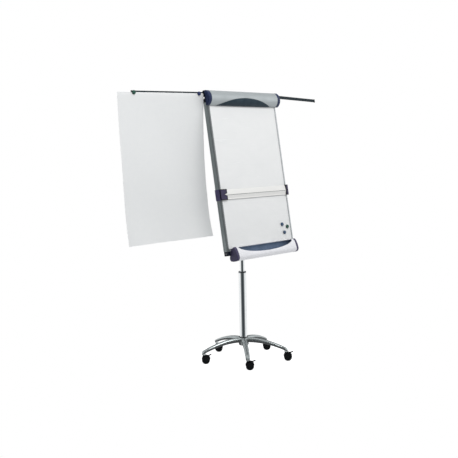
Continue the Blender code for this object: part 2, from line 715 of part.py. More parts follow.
# ---------------------------------------------------------------- clamp
def clamp_outline(arc_steps=14, back_steps=4):
    """The clamp's outer section: a bowed front from the lower lip, then an arc about the hinge."""
    hinge = (CLAMP_HINGE.y, CLAMP_HINGE.z)
    back = arc(hinge, CLAMP_BACK_RADIUS, 112.5, 60.0, back_steps)
    return bulged_arc(CLAMP_ARC_START, back[0], CLAMP_BULGE, arc_steps), back


def clamp_bar(frame):
    """Extruded clamp: a bowed shell with a neck and bead that turn in the top rail's socket."""
    front, back = clamp_outline()
    outer = [CLAMP_LIP] + front + back[1:]
    hinge = (CLAMP_HINGE.y, CLAMP_HINGE.z)
    inner_radius = CLAMP_BACK_RADIUS - CLAMP_WALL
    neck, half_neck = 95.0, 0.0010
    spread_out = math.degrees(half_neck / inner_radius)
    spread_in = math.degrees(math.asin(half_neck / BEAD_RADIUS))
    hook = arc(hinge, inner_radius, 60.0, neck - spread_out, 3)
    hook += arc(hinge, BEAD_RADIUS, neck - spread_in, neck + spread_in - 360.0, 14)
    hook += arc(hinge, inner_radius, neck + spread_out, 110.0, 1)
    lining = offset_outline(front, -CLAMP_WALL)
    lining[0] = (CLAMP_LIP[0], CLAMP_LIP[1] + CLAMP_WALL)
    outline = outer + hook + lining[-2::-1]
    piece("clamp_bar", prism(outline, -CLAMP_HALF_LENGTH + GAP, CLAMP_HALF_LENGTH - GAP), "silver_paint", frame)


def clamp_panel(frame):
    """Dark lens-shaped panel on the clamp's lower front; its straight edge lies along the lip."""
    front = clamp_outline(28)[0]

    def half_width(share):
        return LENS_HALF_WIDTH * math.sqrt(1 - ((share - LENS_START) / LENS_RISE) ** 1.15)

    shares = [LENS_START + LENS_RISE * 0.995 * k / 12 for k in range(13)]
    bm = lens(front, shares, half_width, 9, GAP, 0.0016)
    piece("clamp_panel", bm, "dark_panel", frame)


def clamp_caps(frame):
    """Thick end caps that close the clamp's section."""
    hinge = (CLAMP_HINGE.y, CLAMP_HINGE.z)
    front = clamp_outline(12)[0]
    grown = offset_outline(front, 0.0006)
    back = arc(hinge, CLAMP_BACK_RADIUS, 105.0, 0.0, 6)
    lip = (-0.0040, CLAMP_LIP[1] - 0.0004)
    outline = [lip] + grown + back + [(-0.0040, 1.0580)]
    for name, side in (("left", -1), ("right", 1)):
        start, end = side * CLAMP_HALF_LENGTH, side * (CLAMP_HALF_LENGTH + CLAMP_CAP_LENGTH)
        bm = prism(outline, start, end)
        rim = [e for e in bm.edges if all(abs(v.co.x - end) < 1e-7 for v in e.verts)]
        bmesh.ops.bevel(bm, geom=rim, offset=0.003, segments=2, profile=0.5, affect="EDGES")
        piece(f"clamp_cap_{name}", bm, "navy", frame)


def top_rail(frame):
    """Extruded rail on the board's upper edge; its C-shaped socket holds the clamp's bead."""
    hinge = (CLAMP_HINGE.y, CLAMP_HINGE.z)
    front = FACE_FRONT + FACE_THICKNESS + GAP
    outline = [(front, FACE_TOP + 2 * GAP), (front, 1.0600)]
    outline += arc(hinge, SOCKET_OUTER, -50.0, -235.0, 10)
    outline += arc(hinge, SOCKET_INNER, -235.0, 38.0, 14)
    outline += arc(hinge, SOCKET_OUTER, 38.0, 10.0, 2)
    outline += [(0.0060, 1.0690), (0.0060, 1.0500), (0.0170, 1.0500), (0.0170, FACE_TOP + 2 * GAP)]
    rail = piece("top_rail", prism(outline, -TOP_RAIL_HALF_LENGTH, TOP_RAIL_HALF_LENGTH), "anodised", frame)
    for side in (-1, 1):
        low = (min(side * 0.19, side * 0.31), front - 0.004, 1.0525)
        high = (max(side * 0.19, side * 0.31), 0.010, 1.0590)
        combine(rail, helper(f"hook_slot_{side + 1}", box(low, high), frame), "DIFFERENCE")


def pad_hook(name, x, frame):
    """Sliding hook for a pad: a finger block behind the clamp, a tongue through the rail's slot and a peg."""
    block = box((x - 0.013, 0.0083, 1.0503), (x + 0.013, 0.0165, 1.0840), 0.0020)
    hook = piece(name, block, "bronze_plastic", frame)
    tongue = [
        (0.0100, 1.0535),
        (0.0100, 1.0580),
        (-0.0038, 1.0580),
        (-0.0038, 1.0115),
        (-0.0150, 1.0135),
        (-0.0155, 1.0090),
        (-0.0015, 1.0060),
        (-0.0015, 1.0535),
    ]
    bm = prism(tongue, x - 0.004, x + 0.004)
    combine(hook, helper(name + "_tongue", bm, frame), "UNION")


def clamp(frame):
    """Top rail, its sliding pad hooks and the clamp that hinges on it."""
    top_rail(frame)
    for name, x in (("left", -0.255), ("right", 0.245)):
        pad_hook(f"pad_hook_{name}", x, Frame(f"pad_hook_{name}_axis", (x, 0.012, 1.056), frame))
    hinge = Frame("clamp_axis", CLAMP_HINGE, frame)
    clamp_bar(hinge)
    clamp_panel(hinge)
    clamp_caps(hinge)


# ---------------------------------------------------------------- tray
TRAY_SECTION = [
    (-0.0290, 0.0105),
    (-0.0125, 0.0020),
    (-0.0030, -0.0130),
    (0.0055, -0.0370),
    (0.0125, -0.0600),
    (0.0080, -0.0765),
    (-0.0080, -0.0825),
    (-0.0330, -0.0830),
    (-0.0510, -0.0775),
    (-0.0600, -0.0610),
    (-0.0580, -0.0380),
    (-0.0510, -0.0130),
    (-0.0420, 0.0050),
    (-0.0340, 0.0115),
]
TRAY_CREST = -0.0310
LINER_FRONT_HEIGHT = -0.044


def scoop(frame):
    """Cutter for the opening at the tray's upper front: half an ellipse that dips in the middle."""
    angles = [math.pi * (1 + k / 32) for k in range(33)]
    outline = [(SCOOP_HALF_WIDTH * math.cos(a), 0.0125 + SCOOP_DEPTH * math.sin(a)) for a in angles]
    outline += [(SCOOP_HALF_WIDTH, 0.03), (-SCOOP_HALF_WIDTH, 0.03)]
    return helper("tray_scoop", sideways(prism(outline, -0.09, TRAY_CREST)), frame)


def tray(frame):
    """Pen tray: an egg-section shell scooped open at its upper front, its liner and two end caps."""
    section = smooth_loop(TRAY_SECTION, 2)
    half = TRAY_HALF_LENGTH - GAP
    body = piece("tray_shell", pipe(section, offset_loop(section, -TRAY_WALL), -half, half), "silver_paint", frame)
    combine(body, scoop(frame), "DIFFERENCE")
    trough = section[1 : next(k for k, p in enumerate(section) if p[0] < -0.05 and p[1] > LINER_FRONT_HEIGHT)]
    wall = offset_outline(trough, -TRAY_WALL - GAP), offset_outline(trough, -TRAY_WALL - 0.0018)
    piece("tray_liner", prism(wall[0] + wall[1][::-1], -half, half), "tray_blue", frame)
    outline = offset_loop(section, 0.0008)
    for name, side in (("left", -1), ("right", 1)):
        start, end = side * TRAY_HALF_LENGTH, side * (TRAY_HALF_LENGTH + TRAY_CAP_LENGTH)
        bm = prism(outline, start, end)
        rim = [e for e in bm.edges if all(abs(v.co.x - end) < 1e-7 for v in e.verts)]
        bmesh.ops.bevel(bm, geom=rim, offset=0.003, segments=2, profile=0.5, affect="EDGES")
        piece(f"tray_cap_{name}", bm, "purple", frame)


# ---------------------------------------------------------------- ruler
def notched(x_plain, x_notched, low, high, front, back, reach):
    """An upright plate with a V notch half way up the edge at x_notched; the notch is reach deep."""
    middle, half = (low + high) / 2, (high - low) * 0.11
    way = 1 if x_notched > x_plain else -1
    outline = [
        (x_plain, low),
        (x_notched, low),
        (x_notched, middle - half),
        (x_notched - way * reach, middle),
        (x_notched, middle + half),
        (x_notched, high),
        (x_plain, high),
    ]
    return sideways(prism(outline, front, back, 0.001))


def ruler(frame):
    """Bar across the board between two sliders that run on the side profiles."""
    glide = Frame("ruler_axis", (0, -0.008, 0.367), frame)
    section = [
        (-0.0032, RULER_BOTTOM),
        (-0.0072, RULER_BOTTOM),
        (-0.0078, RULER_BOTTOM + 0.0035),
        (-0.0062, RULER_BOTTOM + 0.0065),
        (-0.0122, 0.3650),
        (-0.0122, 0.3680),
        (-0.0060, RULER_TOP - 0.0020),
        (-0.0050, RULER_TOP),
        (-0.0032, RULER_TOP),
    ]
    piece("ruler_bar", prism(section, -0.2900, 0.3290), "white_plastic", glide)
    outer = BOARD_HALF_WIDTH + 2 * GAP
    for name, side, reach, depth in (("left", -1, 0.2905, 0.026), ("right", 1, 0.3295, 0.008)):
        front = notched(side * (outer + 0.0035), side * reach, SLIDER_BOTTOM, SLIDER_TOP, -0.0140, -0.0027, depth)
        slider = piece(f"ruler_slider_{name}", front, "purple", glide)
        low = (min(side * outer, side * (outer + 0.0035)), -0.0120, SLIDER_BOTTOM)
        high = (max(side * outer, side * (outer + 0.0035)), PROFILE_DEPTH - 0.004, SLIDER_TOP)
        combine(slider, helper(f"slider_side_{name}", box(low, high, 0.001, 1), glide), "UNION")


# ---------------------------------------------------------------- magnets
def magnet(name, slot, x, height, base_y, frame_parent):
    """Round magnet with a domed edge, on a frame that lets it pull off forwards."""
    frame = Frame(f"{name}_axis", (x, base_y, height), frame_parent)
    r, t = MAGNET_RADIUS, MAGNET_HEIGHT
    profile = [(0, 0), (r - 0.0008, 0), (r, 0.0010), (r - 0.0004, t * 0.55), (r - 0.0022, t), (r * 0.45, t + 0.0006)]
    bm = turned(profile + [(0, t + 0.0006)], 20)
    bmesh.ops.transform(bm, matrix=Matrix.Rotation(math.pi / 2, 4, "X"), verts=bm.verts)
    bmesh.ops.translate(bm, vec=frame.origin, verts=bm.verts)
    piece(name, bm, slot, frame)


def board_magnets(frame):
    """Three magnets low on the board's right side."""
    places = (("magnet_board_1", "magnet_blue", 0.246, 0.125), ("magnet_board_2", "magnet_green", 0.301, 0.105))
    for name, slot, x, height in (*places, ("magnet_board_3", "magnet_blue", 0.261, 0.066)):
        magnet(name, slot, x, height, FACE_FRONT - GAP, frame)


# ---------------------------------------------------------------- arms and sheet
def arm(name, side, frame):
    """Knuckle on the hinge pin, the flat arm in its slot and the plug on the arm's end."""
    hinge = Vector((side * ARM_HINGE_X, ARM_HINGE_Y, ARM_HINGE_Z))
    swing = Frame(f"arm_{name}_axis", hinge, frame, (0.0, 0.0, side * ARM_SWEEP[name]))
    bore = HINGE_PIN_RADIUS + GAP
    profile = [
        (bore, KNUCKLE_BOTTOM),
        (KNUCKLE_RADIUS - 0.0015, KNUCKLE_BOTTOM),
        (KNUCKLE_RADIUS, KNUCKLE_BOTTOM + 0.0015),
        (KNUCKLE_RADIUS, KNUCKLE_TOP - 0.0015),
        (KNUCKLE_RADIUS - 0.0015, KNUCKLE_TOP),
        (bore, KNUCKLE_TOP),
    ]
    centre = (hinge.x, hinge.y, 0)
    knuckle = piece(f"arm_knuckle_{name}", turned(profile, 20, centre=centre), "navy", swing)
    half_y, half_z = ARM_THICKNESS / 2, ARM_HEIGHT / 2
    root, tip = hinge.x + side * (bore + 0.0015), hinge.x + side * ARM_LENGTH
    low = (min(root, tip), hinge.y - half_y, hinge.z - half_z)
    high = (max(root, tip), hinge.y + half_y, hinge.z + half_z)
    slot_low = Vector(low) - Vector((GAP, GAP, GAP))
    slot_high = Vector(high) + Vector((GAP, GAP, GAP))
    combine(knuckle, helper(f"arm_slot_{name}", box(slot_low, slot_high), swing), "DIFFERENCE")
    piece(f"arm_{name}", box(low, high, 0.0008, 1), "black_steel", swing)
    plug_root, plug_tip = tip + side * GAP, tip + side * 0.010
    low = (min(plug_root, plug_tip), hinge.y - half_y, hinge.z - half_z - 0.0015)
    high = (max(plug_root, plug_tip), hinge.y + half_y + 0.002, hinge.z + half_z + 0.0015)
    piece(f"arm_plug_{name}", box(low, high, 0.0015), "black", swing)
    return swing


def sheet_line(out, offset):
    """The sheet's side view at a share of its width: flat on the arm's face, then straight down with a bent foot.

    The outer edge hangs a little forwards and the inner edge a little backwards; both bend forwards at the foot.
    """
    face = ARM_HINGE_Y - ARM_THICKNESS / 2 - GAP
    top = ARM_HINGE_Z + SHEET_RISE
    edge = ARM_HINGE_Z - ARM_HEIGHT / 2
    line = [(face, top), (face, (top + edge) / 2), (face, edge)]
    hang = SHEET_DROP - (top - edge)
    steps = 14
    for k in range(1, steps + 1):
        share = k / steps
        outer = 0.026 * math.sin(min(1.0, share / 0.7) * math.pi / 2) ** 2 + 0.030 * max(0.0, share / 0.4 - 1.5) ** 2.2
        inner = -0.016 * math.sin(min(1.0, share / 0.7) * math.pi) + 0.053 * max(0.0, share / 0.4 - 1.5) ** 2.2
        forward = outer * out + inner * (1 - out)
        drop = hang * share
        y = face + drop * math.sin(LEAN) - forward * math.cos(LEAN)
        z = edge - drop * math.cos(LEAN) - forward * math.sin(LEAN)
        line.append((y, z))
    return offset_outline(line, -offset)


def paper_sheet(swing):
    """The loose sheet that two magnets hold on the left arm."""
    start = -ARM_HINGE_X - SHEET_START
    shares = [k / 4 for k in range(5)]
    grids = [
        [[(start - SHEET_WIDTH * share, y, z) for y, z in sheet_line(share, offset)] for share in shares]
        for offset in (0.0, SHEET_THICKNESS)
    ]
    piece("paper_sheet", shell(*grids), "paper", swing)


def arms(frame):
    """Two swing arms; the left one carries the sheet under two magnets."""
    left = arm("left", -1, frame)
    arm("right", 1, frame)
    paper_sheet(left)
    front = ARM_HINGE_Y - ARM_THICKNESS / 2 - GAP - SHEET_THICKNESS - GAP
    for name, slot, out in (("magnet_arm_1", "magnet_blue", 0.053), ("magnet_arm_2", "magnet_green", 0.586)):
        magnet(name, slot, -ARM_HINGE_X - out, ARM_HINGE_Z - MAGNET_DROP, front, left)


# ---------------------------------------------------------------- the easel
def clear_scene():
    """Remove every object, mesh and material."""
    for store in (bpy.data.objects, bpy.data.meshes, bpy.data.materials):
        for item in list(store):
            store.remove(item)


def build():
    """Make the whole easel."""
    clear_scene()
    base = Frame("column_foot", (0, 0, 0), location=(COLUMN_X, COLUMN_Y, 0.0))
    star_base(base)
    castors(base)
    lift = column(base)
    tilt = Frame(
        "tilt_axis",
        (0.0, FRONT_TO_PIN, EDGE_TO_PIN),
        lift,
        (-LEAN, 0.0, 0.0),
        Vector((0, 0, PIN_HEIGHT)) - lift.origin,
    )
    board(tilt)
    corners(tilt)
    clamp(tilt)
    tray(tilt)
    ruler(tilt)
    board_magnets(tilt)
    arms(tilt)


build()
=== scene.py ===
"""The looks of the mobile flipchart easel: refined meshes, procedural materials, light and camera.

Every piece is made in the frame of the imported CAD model, in metres, and rides on one of its bodies.
Board coordinates are x across, y backwards from the board's front face, and z up the board from its
lower edge. Column coordinates start on the floor under the column's axis.
"""

from math import asin, atan2, cos, degrees, pi, radians, sin, sqrt, tau

import bmesh
import bpy
from mathutils import Matrix, Vector

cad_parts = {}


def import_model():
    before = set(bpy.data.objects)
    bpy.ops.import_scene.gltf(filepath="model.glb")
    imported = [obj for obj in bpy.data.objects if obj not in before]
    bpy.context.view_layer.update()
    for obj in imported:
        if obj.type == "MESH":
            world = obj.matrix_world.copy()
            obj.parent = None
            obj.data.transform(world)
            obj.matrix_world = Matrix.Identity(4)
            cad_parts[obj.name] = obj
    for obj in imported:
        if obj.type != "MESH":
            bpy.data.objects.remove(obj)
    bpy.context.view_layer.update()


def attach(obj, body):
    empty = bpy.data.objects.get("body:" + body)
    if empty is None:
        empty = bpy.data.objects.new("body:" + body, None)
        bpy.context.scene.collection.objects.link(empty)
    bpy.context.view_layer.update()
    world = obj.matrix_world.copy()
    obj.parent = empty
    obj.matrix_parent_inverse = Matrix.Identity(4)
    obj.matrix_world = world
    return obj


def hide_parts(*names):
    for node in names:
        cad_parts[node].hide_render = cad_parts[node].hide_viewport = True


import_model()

# ---------------------------------------------------------------- dimensions, in metres
COLUMN = Vector((0.0563, -0.0084, 0.0))
LEAN = radians(9.0)
PIN_HEIGHT = 1.368
PIN_BORE = 0.0053
FRONT_TO_PIN = 0.1057
EDGE_TO_PIN = 0.550
PIN_CENTRE = (0, FRONT_TO_PIN, EDGE_TO_PIN)

HALF_WIDTH = 0.350
PROFILE_WIDTH = 0.014
INNER_HALF = HALF_WIDTH - PROFILE_WIDTH
PROFILE_BACK = 0.041
PROFILE_TOP = 1.002
PANEL_TOP = 0.9897
RAIL_FRONT = 0.0171
RAIL_DEPTH = 0.022
RAIL_HEIGHT = 0.030
RAIL_WALL = 0.0018
RAIL_SCREWS = (0.485, 0.615)
YOKE_BACK = 0.0394

CLAMP_HALF = 0.341
CLAMP_WALL = 0.0025
CLAMP_HINGE = (-0.0105, 1.068)
CLAMP_EYE = 0.0105
CLAMP_FOOT = (-0.0040, 0.9770)
TRAY_HALF = 0.304
TRAY_CAP = 0.022
RULER_LOW = 0.336
RULER_HIGH = 0.405
# heights of the ruler's groove, whose faces are painted dark as shade
RULER_SHADED_GROOVE = (0.3654, 0.3684)
SLIDER_LOW = 0.334
SLIDER_HIGH = 0.408

ARM_HINGE = Vector((0.352, 0.0140, 1.060))
ARM_SWEEP = {"left": radians(4.5), "right": radians(6.8)}
ARM_LENGTH = 0.592
KNUCKLE_RADIUS = 0.0115
MAGNET_RADIUS = 0.0135
MAGNET_THICKNESS = 0.0080
SHEET_WIDTH = 0.700
SHEET_HUNG_LENGTH = 0.957
SHEET_THICKNESS = 0.0004

CASTOR_CIRCLE = 0.308
ARM_ANGLES = (-132.7, -60.7, 11.3, 83.3, 155.3)
ARM_START = 0.010
ARM_END = CASTOR_CIRCLE + 0.014
ARM_NOSE = 0.012
ARM_WALL = 0.0036
ARM_FOOT = 0.086
ARM_TOP = 0.158
HUB_RADIUS = 0.0360
COLUMN_BORE = 0.0257
BRAKED = (1, 2, 5)
TRAIL_ANGLE = radians(-46.9)
TRAIL = 0.0140
WHEEL_RADIUS = 0.0285
WHEEL_INNER = 0.0062
WHEEL_OUTER = 0.0212

CAMERA_PLACE = (-4.3101, -4.0108, 1.5187)
CAMERA_AZIMUTH = radians(46.635)
CAMERA_PITCH = radians(5.534)
CAMERA_ROLL = radians(-1.241)
CAMERA_LENS = 65.57

GAP = 0.0003
SIDES = (("left", -1), ("right", 1))


# ---------------------------------------------------------------- frames
def shift(place):
    return Matrix.Translation(place)


def spin(angle, axis):
    return Matrix.Rotation(angle, 4, axis)


TILT = shift(COLUMN + Vector((0, 0, PIN_HEIGHT))) @ spin(-LEAN, "X") @ shift((0, -FRONT_TO_PIN, -EDGE_TO_PIN))
AT_COLUMN = shift(COLUMN)
SWAP_XY = Matrix(((0, 1, 0, 0), (1, 0, 0, 0), (0, 0, 1, 0), (0, 0, 0, 1)))
BACKWARDS = spin(-pi / 2, "X")


def in_board(point):
    """A point of the row frame in board coordinates."""
    return TILT.inverted() @ point


# ---------------------------------------------------------------- node trees
def connect(tree, value, socket):
    """Set a socket to a constant, a colour with full opacity, or link another socket to it."""
    if isinstance(value, bpy.types.NodeSocket):
        tree.links.new(value, socket)
    elif socket.type == "RGBA":
        socket.default_value = (*value, 1.0)
    else:
        socket.default_value = value


def add_node(tree, kind, **inputs):
    """Add a node whose named inputs are constants or sockets of other nodes."""
    node = tree.nodes.new(kind)
    for key, value in inputs.items():
        connect(tree, value, node.inputs[key.replace("_", " ")])
    return node


def mix_colours(tree, factor, a, b):
    """Mix of two colours, each a tuple or a socket."""
    node = tree.nodes.new("ShaderNodeMix")
    node.data_type = "RGBA"
    for key, value in (("A", a), ("B", b)):
        socket = [s for s in node.inputs if s.name == key and s.type == "RGBA"][0]
        connect(tree, value, socket)
    connect(tree, factor, node.inputs["Factor"])
    return [s for s in node.outputs if s.type == "RGBA"][0]


# ---------------------------------------------------------------- materials
class Nodes:
    """Short calls for building one material's node tree."""

    def __init__(self, name):
        self.material = bpy.data.materials.new(name)
        self.material.use_nodes = True
        self.tree = self.material.node_tree
        self.shader = self.tree.nodes["Principled BSDF"]
        self.coords = self.tree.nodes.new("ShaderNodeTexCoord").outputs["Object"]

    def noise(self, scale, detail=3.0, roughness=0.55, stretch=None, distortion=0.0):
        """Noise over the object coordinates, which may be stretched by a scale along each axis."""
        place = self.coords
        if stretch:
            place = add_node(self.tree, "ShaderNodeMapping", Vector=place, Scale=stretch).outputs["Vector"]
        inputs = {"Scale": scale, "Detail": detail, "Roughness": roughness, "Distortion": distortion}
        return add_node(self.tree, "ShaderNodeTexNoise", Vector=place, **inputs).outputs["Fac"]

    def cells(self, scale):
        node = add_node(self.tree, "ShaderNodeTexVoronoi", Vector=self.coords, Scale=scale)
        return node.outputs["Distance"]

    def span(self, value, low, high, start=0.3, end=0.7):
        """The result runs from low to high while the value runs from start to end."""
        limits = {"From_Min": start, "From_Max": end, "To_Min": low, "To_Max": high}
        return add_node(self.tree, "ShaderNodeMapRange", Value=value, **limits).outputs["Result"]

    def mix(self, factor, a, b):
        return mix_colours(self.tree, factor, a, b)

    def bump(self, height, strength, distance, below=None):
        inputs = {"Strength": strength, "Distance": distance, "Height": height}
        if below:
            inputs["Normal"] = below
        return add_node(self.tree, "ShaderNodeBump", **inputs).outputs["Normal"]

    def finish(self, colour, roughness, normal, **constants):
        """Set the shader's colour, roughness and normal, and any other constants."""
        inputs = {"Base Color": colour, "Roughness": roughness, "Normal": normal, **constants}
        for key, value in inputs.items():
            connect(self.tree, value, self.shader.inputs[key.replace("_", " ")])
        return self.material


def tinted(colour, share):
    """A colour made lighter or darker by a share."""
    return tuple(min(1.0, c * (1 + share)) for c in colour)


def powder_paint(name, colour, metallic=0.55, roughness=0.42):
    """Silver powder coat: fine metallic grain, slight orange peel, and handling marks in the gloss."""
    n = Nodes(name)
    grain = n.noise(1400.0, 2.0)
    peel = n.noise(260.0, 2.0)
    marks = n.noise(9.0, 5.0, 0.65, distortion=0.6)
    base = n.mix(n.span(grain, 0.0, 1.0), tinted(colour, -0.10), tinted(colour, 0.09))
    base = n.mix(n.span(marks, 0.0, 0.35, 0.45, 0.75), base, tinted(colour, -0.12))
    normal = n.bump(grain, 0.10, 0.0002, n.bump(peel, 0.08, 0.0006))
    return n.finish(base, n.span(marks, roughness - 0.06, roughness + 0.12), normal, Metallic=metallic)


def extrusion(name, colour, stretch, metallic=0.75, roughness=0.40):
    """Satin anodised extrusion: fine lines along its length and a soft mottled sheen."""
    n = Nodes(name)
    lines = n.noise(1.0, 3.0, 0.6, stretch=stretch)
    mottle = n.noise(14.0, 4.0)
    base = n.mix(n.span(lines, 0.0, 1.0), tinted(colour, -0.09), tinted(colour, 0.08))
    base = n.mix(n.span(mottle, 0.0, 0.3, 0.5, 0.8), base, tinted(colour, -0.15))
    normal = n.bump(lines, 0.12, 0.0003)
    return n.finish(base, n.span(lines, roughness - 0.05, roughness + 0.08), normal, Metallic=metallic)


def chrome(name):
    """Bright chrome with faint drawing lines and finger smudges."""
    n = Nodes(name)
    smudge = n.noise(16.0, 5.0, 0.7, distortion=0.8)
    lines = n.noise(1.0, 2.0, 0.5, stretch=(900.0, 900.0, 6.0))
    base = n.mix(n.span(smudge, 0.0, 1.0, 0.45, 0.75), (0.86, 0.88, 0.88), (0.78, 0.80, 0.81))
    normal = n.bump(lines, 0.03, 0.0002)
    return n.finish(base, n.span(smudge, 0.05, 0.16, 0.4, 0.8), normal, Metallic=1.0)


def moulded(name, colour, roughness=0.45, grain=1500.0, depth=0.22, coat=0.0, specular=0.22):
    """Injection-moulded plastic: spark-eroded grain, slight flow marks and rubbed, shinier patches."""
    n = Nodes(name)
    fine = n.noise(grain, 2.0, 0.7)
    flow = n.noise(22.0, 4.0, 0.6, distortion=0.5)
    base = n.mix(n.span(flow, 0.0, 1.0), tinted(colour, -0.14), tinted(colour, 0.18))
    base = n.mix(n.span(fine, 0.0, 0.35, 0.5, 0.8), base, tinted(colour, 0.45))
    normal = n.bump(fine, depth, 0.0003)
    gloss = n.span(flow, roughness - 0.08, roughness + 0.08)
    return n.finish(base, gloss, normal, Coat_Weight=coat, Coat_Roughness=0.2, Specular_IOR_Level=specular)


def white_moulding(name):
    """White plastic: fine grain, a trace of yellowing and scuffs in the gloss."""
    n = Nodes(name)
    fine = n.noise(900.0, 2.0)
    age = n.noise(6.0, 3.0)
    scuff = n.noise(1.0, 4.0, 0.7, stretch=(14.0, 220.0, 220.0))
    base = n.mix(n.span(age, 0.0, 1.0), (0.845, 0.838, 0.815), (0.825, 0.820, 0.800))
    base = n.mix(n.span(scuff, 0.0, 0.25, 0.6, 0.85), base, (0.72, 0.72, 0.71))
    return n.finish(base, n.span(scuff, 0.30, 0.42), n.bump(fine, 0.08, 0.0002), Specular_IOR_Level=0.35)


def enamel(name):
    """White enamelled steel writing face: a hair of orange peel and faint wiped marker haze."""
    n = Nodes(name)
    peel = n.noise(170.0, 2.0)
    haze = n.noise(3.5, 6.0, 0.6, stretch=(1.0, 1.0, 1.8), distortion=0.9)
    wipes = n.noise(1.0, 3.0, 0.6, stretch=(3.0, 3.0, 46.0), distortion=0.3)
    base = n.mix(n.span(haze, 0.0, 1.0), (0.865, 0.868, 0.865), (0.825, 0.832, 0.830))
    base = n.mix(n.span(wipes, 0.0, 0.4, 0.55, 0.85), base, (0.79, 0.80, 0.805))
    normal = n.bump(peel, 0.05, 0.0006)
    return n.finish(base, n.span(wipes, 0.16, 0.28), normal, Specular_IOR_Level=0.35)


def backing(name):
    """Grey lacquered back foil with a faint rolled mottle."""
    n = Nodes(name)
    rolled = n.noise(1.0, 3.0, 0.6, stretch=(260.0, 260.0, 22.0))
    cells = n.cells(60.0)
    base = n.mix(n.span(cells, 0.0, 1.0, 0.1, 0.7), (0.50, 0.52, 0.535), (0.59, 0.61, 0.62))
    base = n.mix(n.span(rolled, 0.0, 0.5), base, (0.46, 0.48, 0.50))
    return n.finish(base, n.span(cells, 0.42, 0.58), n.bump(rolled, 0.10, 0.0004), Metallic=0.35)


def paper(name):
    """Uncoated flipchart paper: fibre cloud in the colour, fibre tooth in the bump."""
    n = Nodes(name)
    cloud = n.noise(38.0, 5.0, 0.65)
    tooth = n.noise(900.0, 3.0, 0.7)
    wave = n.noise(2.2, 2.0)
    base = n.mix(n.span(cloud, 0.0, 1.0), (0.862, 0.872, 0.872), (0.885, 0.892, 0.890))
    base = n.mix(n.span(tooth, 0.0, 0.3), base, (0.84, 0.85, 0.85))
    normal = n.bump(tooth, 0.16, 0.0002, n.bump(wave, 0.12, 0.02))
    return n.finish(base, n.span(cloud, 0.78, 0.92), normal, Sheen_Weight=0.08, Sheen_Roughness=0.5)


def inlay(name):
    """Dark blue-grey glossy inlay with a soft cloud and hairline wipe marks."""
    n = Nodes(name)
    cloud = n.noise(18.0, 4.0, 0.6)
    wipe = n.noise(1.0, 3.0, 0.6, stretch=(12.0, 420.0, 420.0))
    base = n.mix(n.span(cloud, 0.0, 1.0), (0.016, 0.033, 0.047), (0.030, 0.052, 0.068))
    base = n.mix(n.span(wipe, 0.0, 0.35, 0.55, 0.85), base, (0.060, 0.085, 0.102))
    return n.finish(base, n.span(wipe, 0.24, 0.38), n.bump(wipe, 0.04, 0.0002), Specular_IOR_Level=0.10)


def zinc(name):
    """Zinc-plated steel with turning marks and a dull bloom."""
    n = Nodes(name)
    colour = (0.56, 0.57, 0.58)
    bloom = n.noise(90.0, 4.0)
    rings = n.noise(1.0, 2.0, 0.5, stretch=(1600.0, 1600.0, 1600.0))
    base = n.mix(n.span(bloom, 0.0, 1.0), tinted(colour, -0.15), tinted(colour, 0.12))
    return n.finish(base, n.span(bloom, 0.24, 0.42), n.bump(rings, 0.08, 0.0002), Metallic=1.0)


def floor_finish(name):
    """Plain white studio floor with the faintest mottle, lit up to the white of the backdrop."""
    n = Nodes(name)
    cloud = n.noise(1.3, 4.0)
    base = n.mix(n.span(cloud, 0.0, 1.0), (0.60, 0.60, 0.60), (0.64, 0.64, 0.64))
    glow = {"Emission_Color": (1.0, 1.0, 1.0), "Emission_Strength": 0.80, "Specular_IOR_Level": 0.0}
    return n.finish(base, 0.9, n.bump(n.noise(420.0, 2.0), 0.03, 0.0004), **glow)


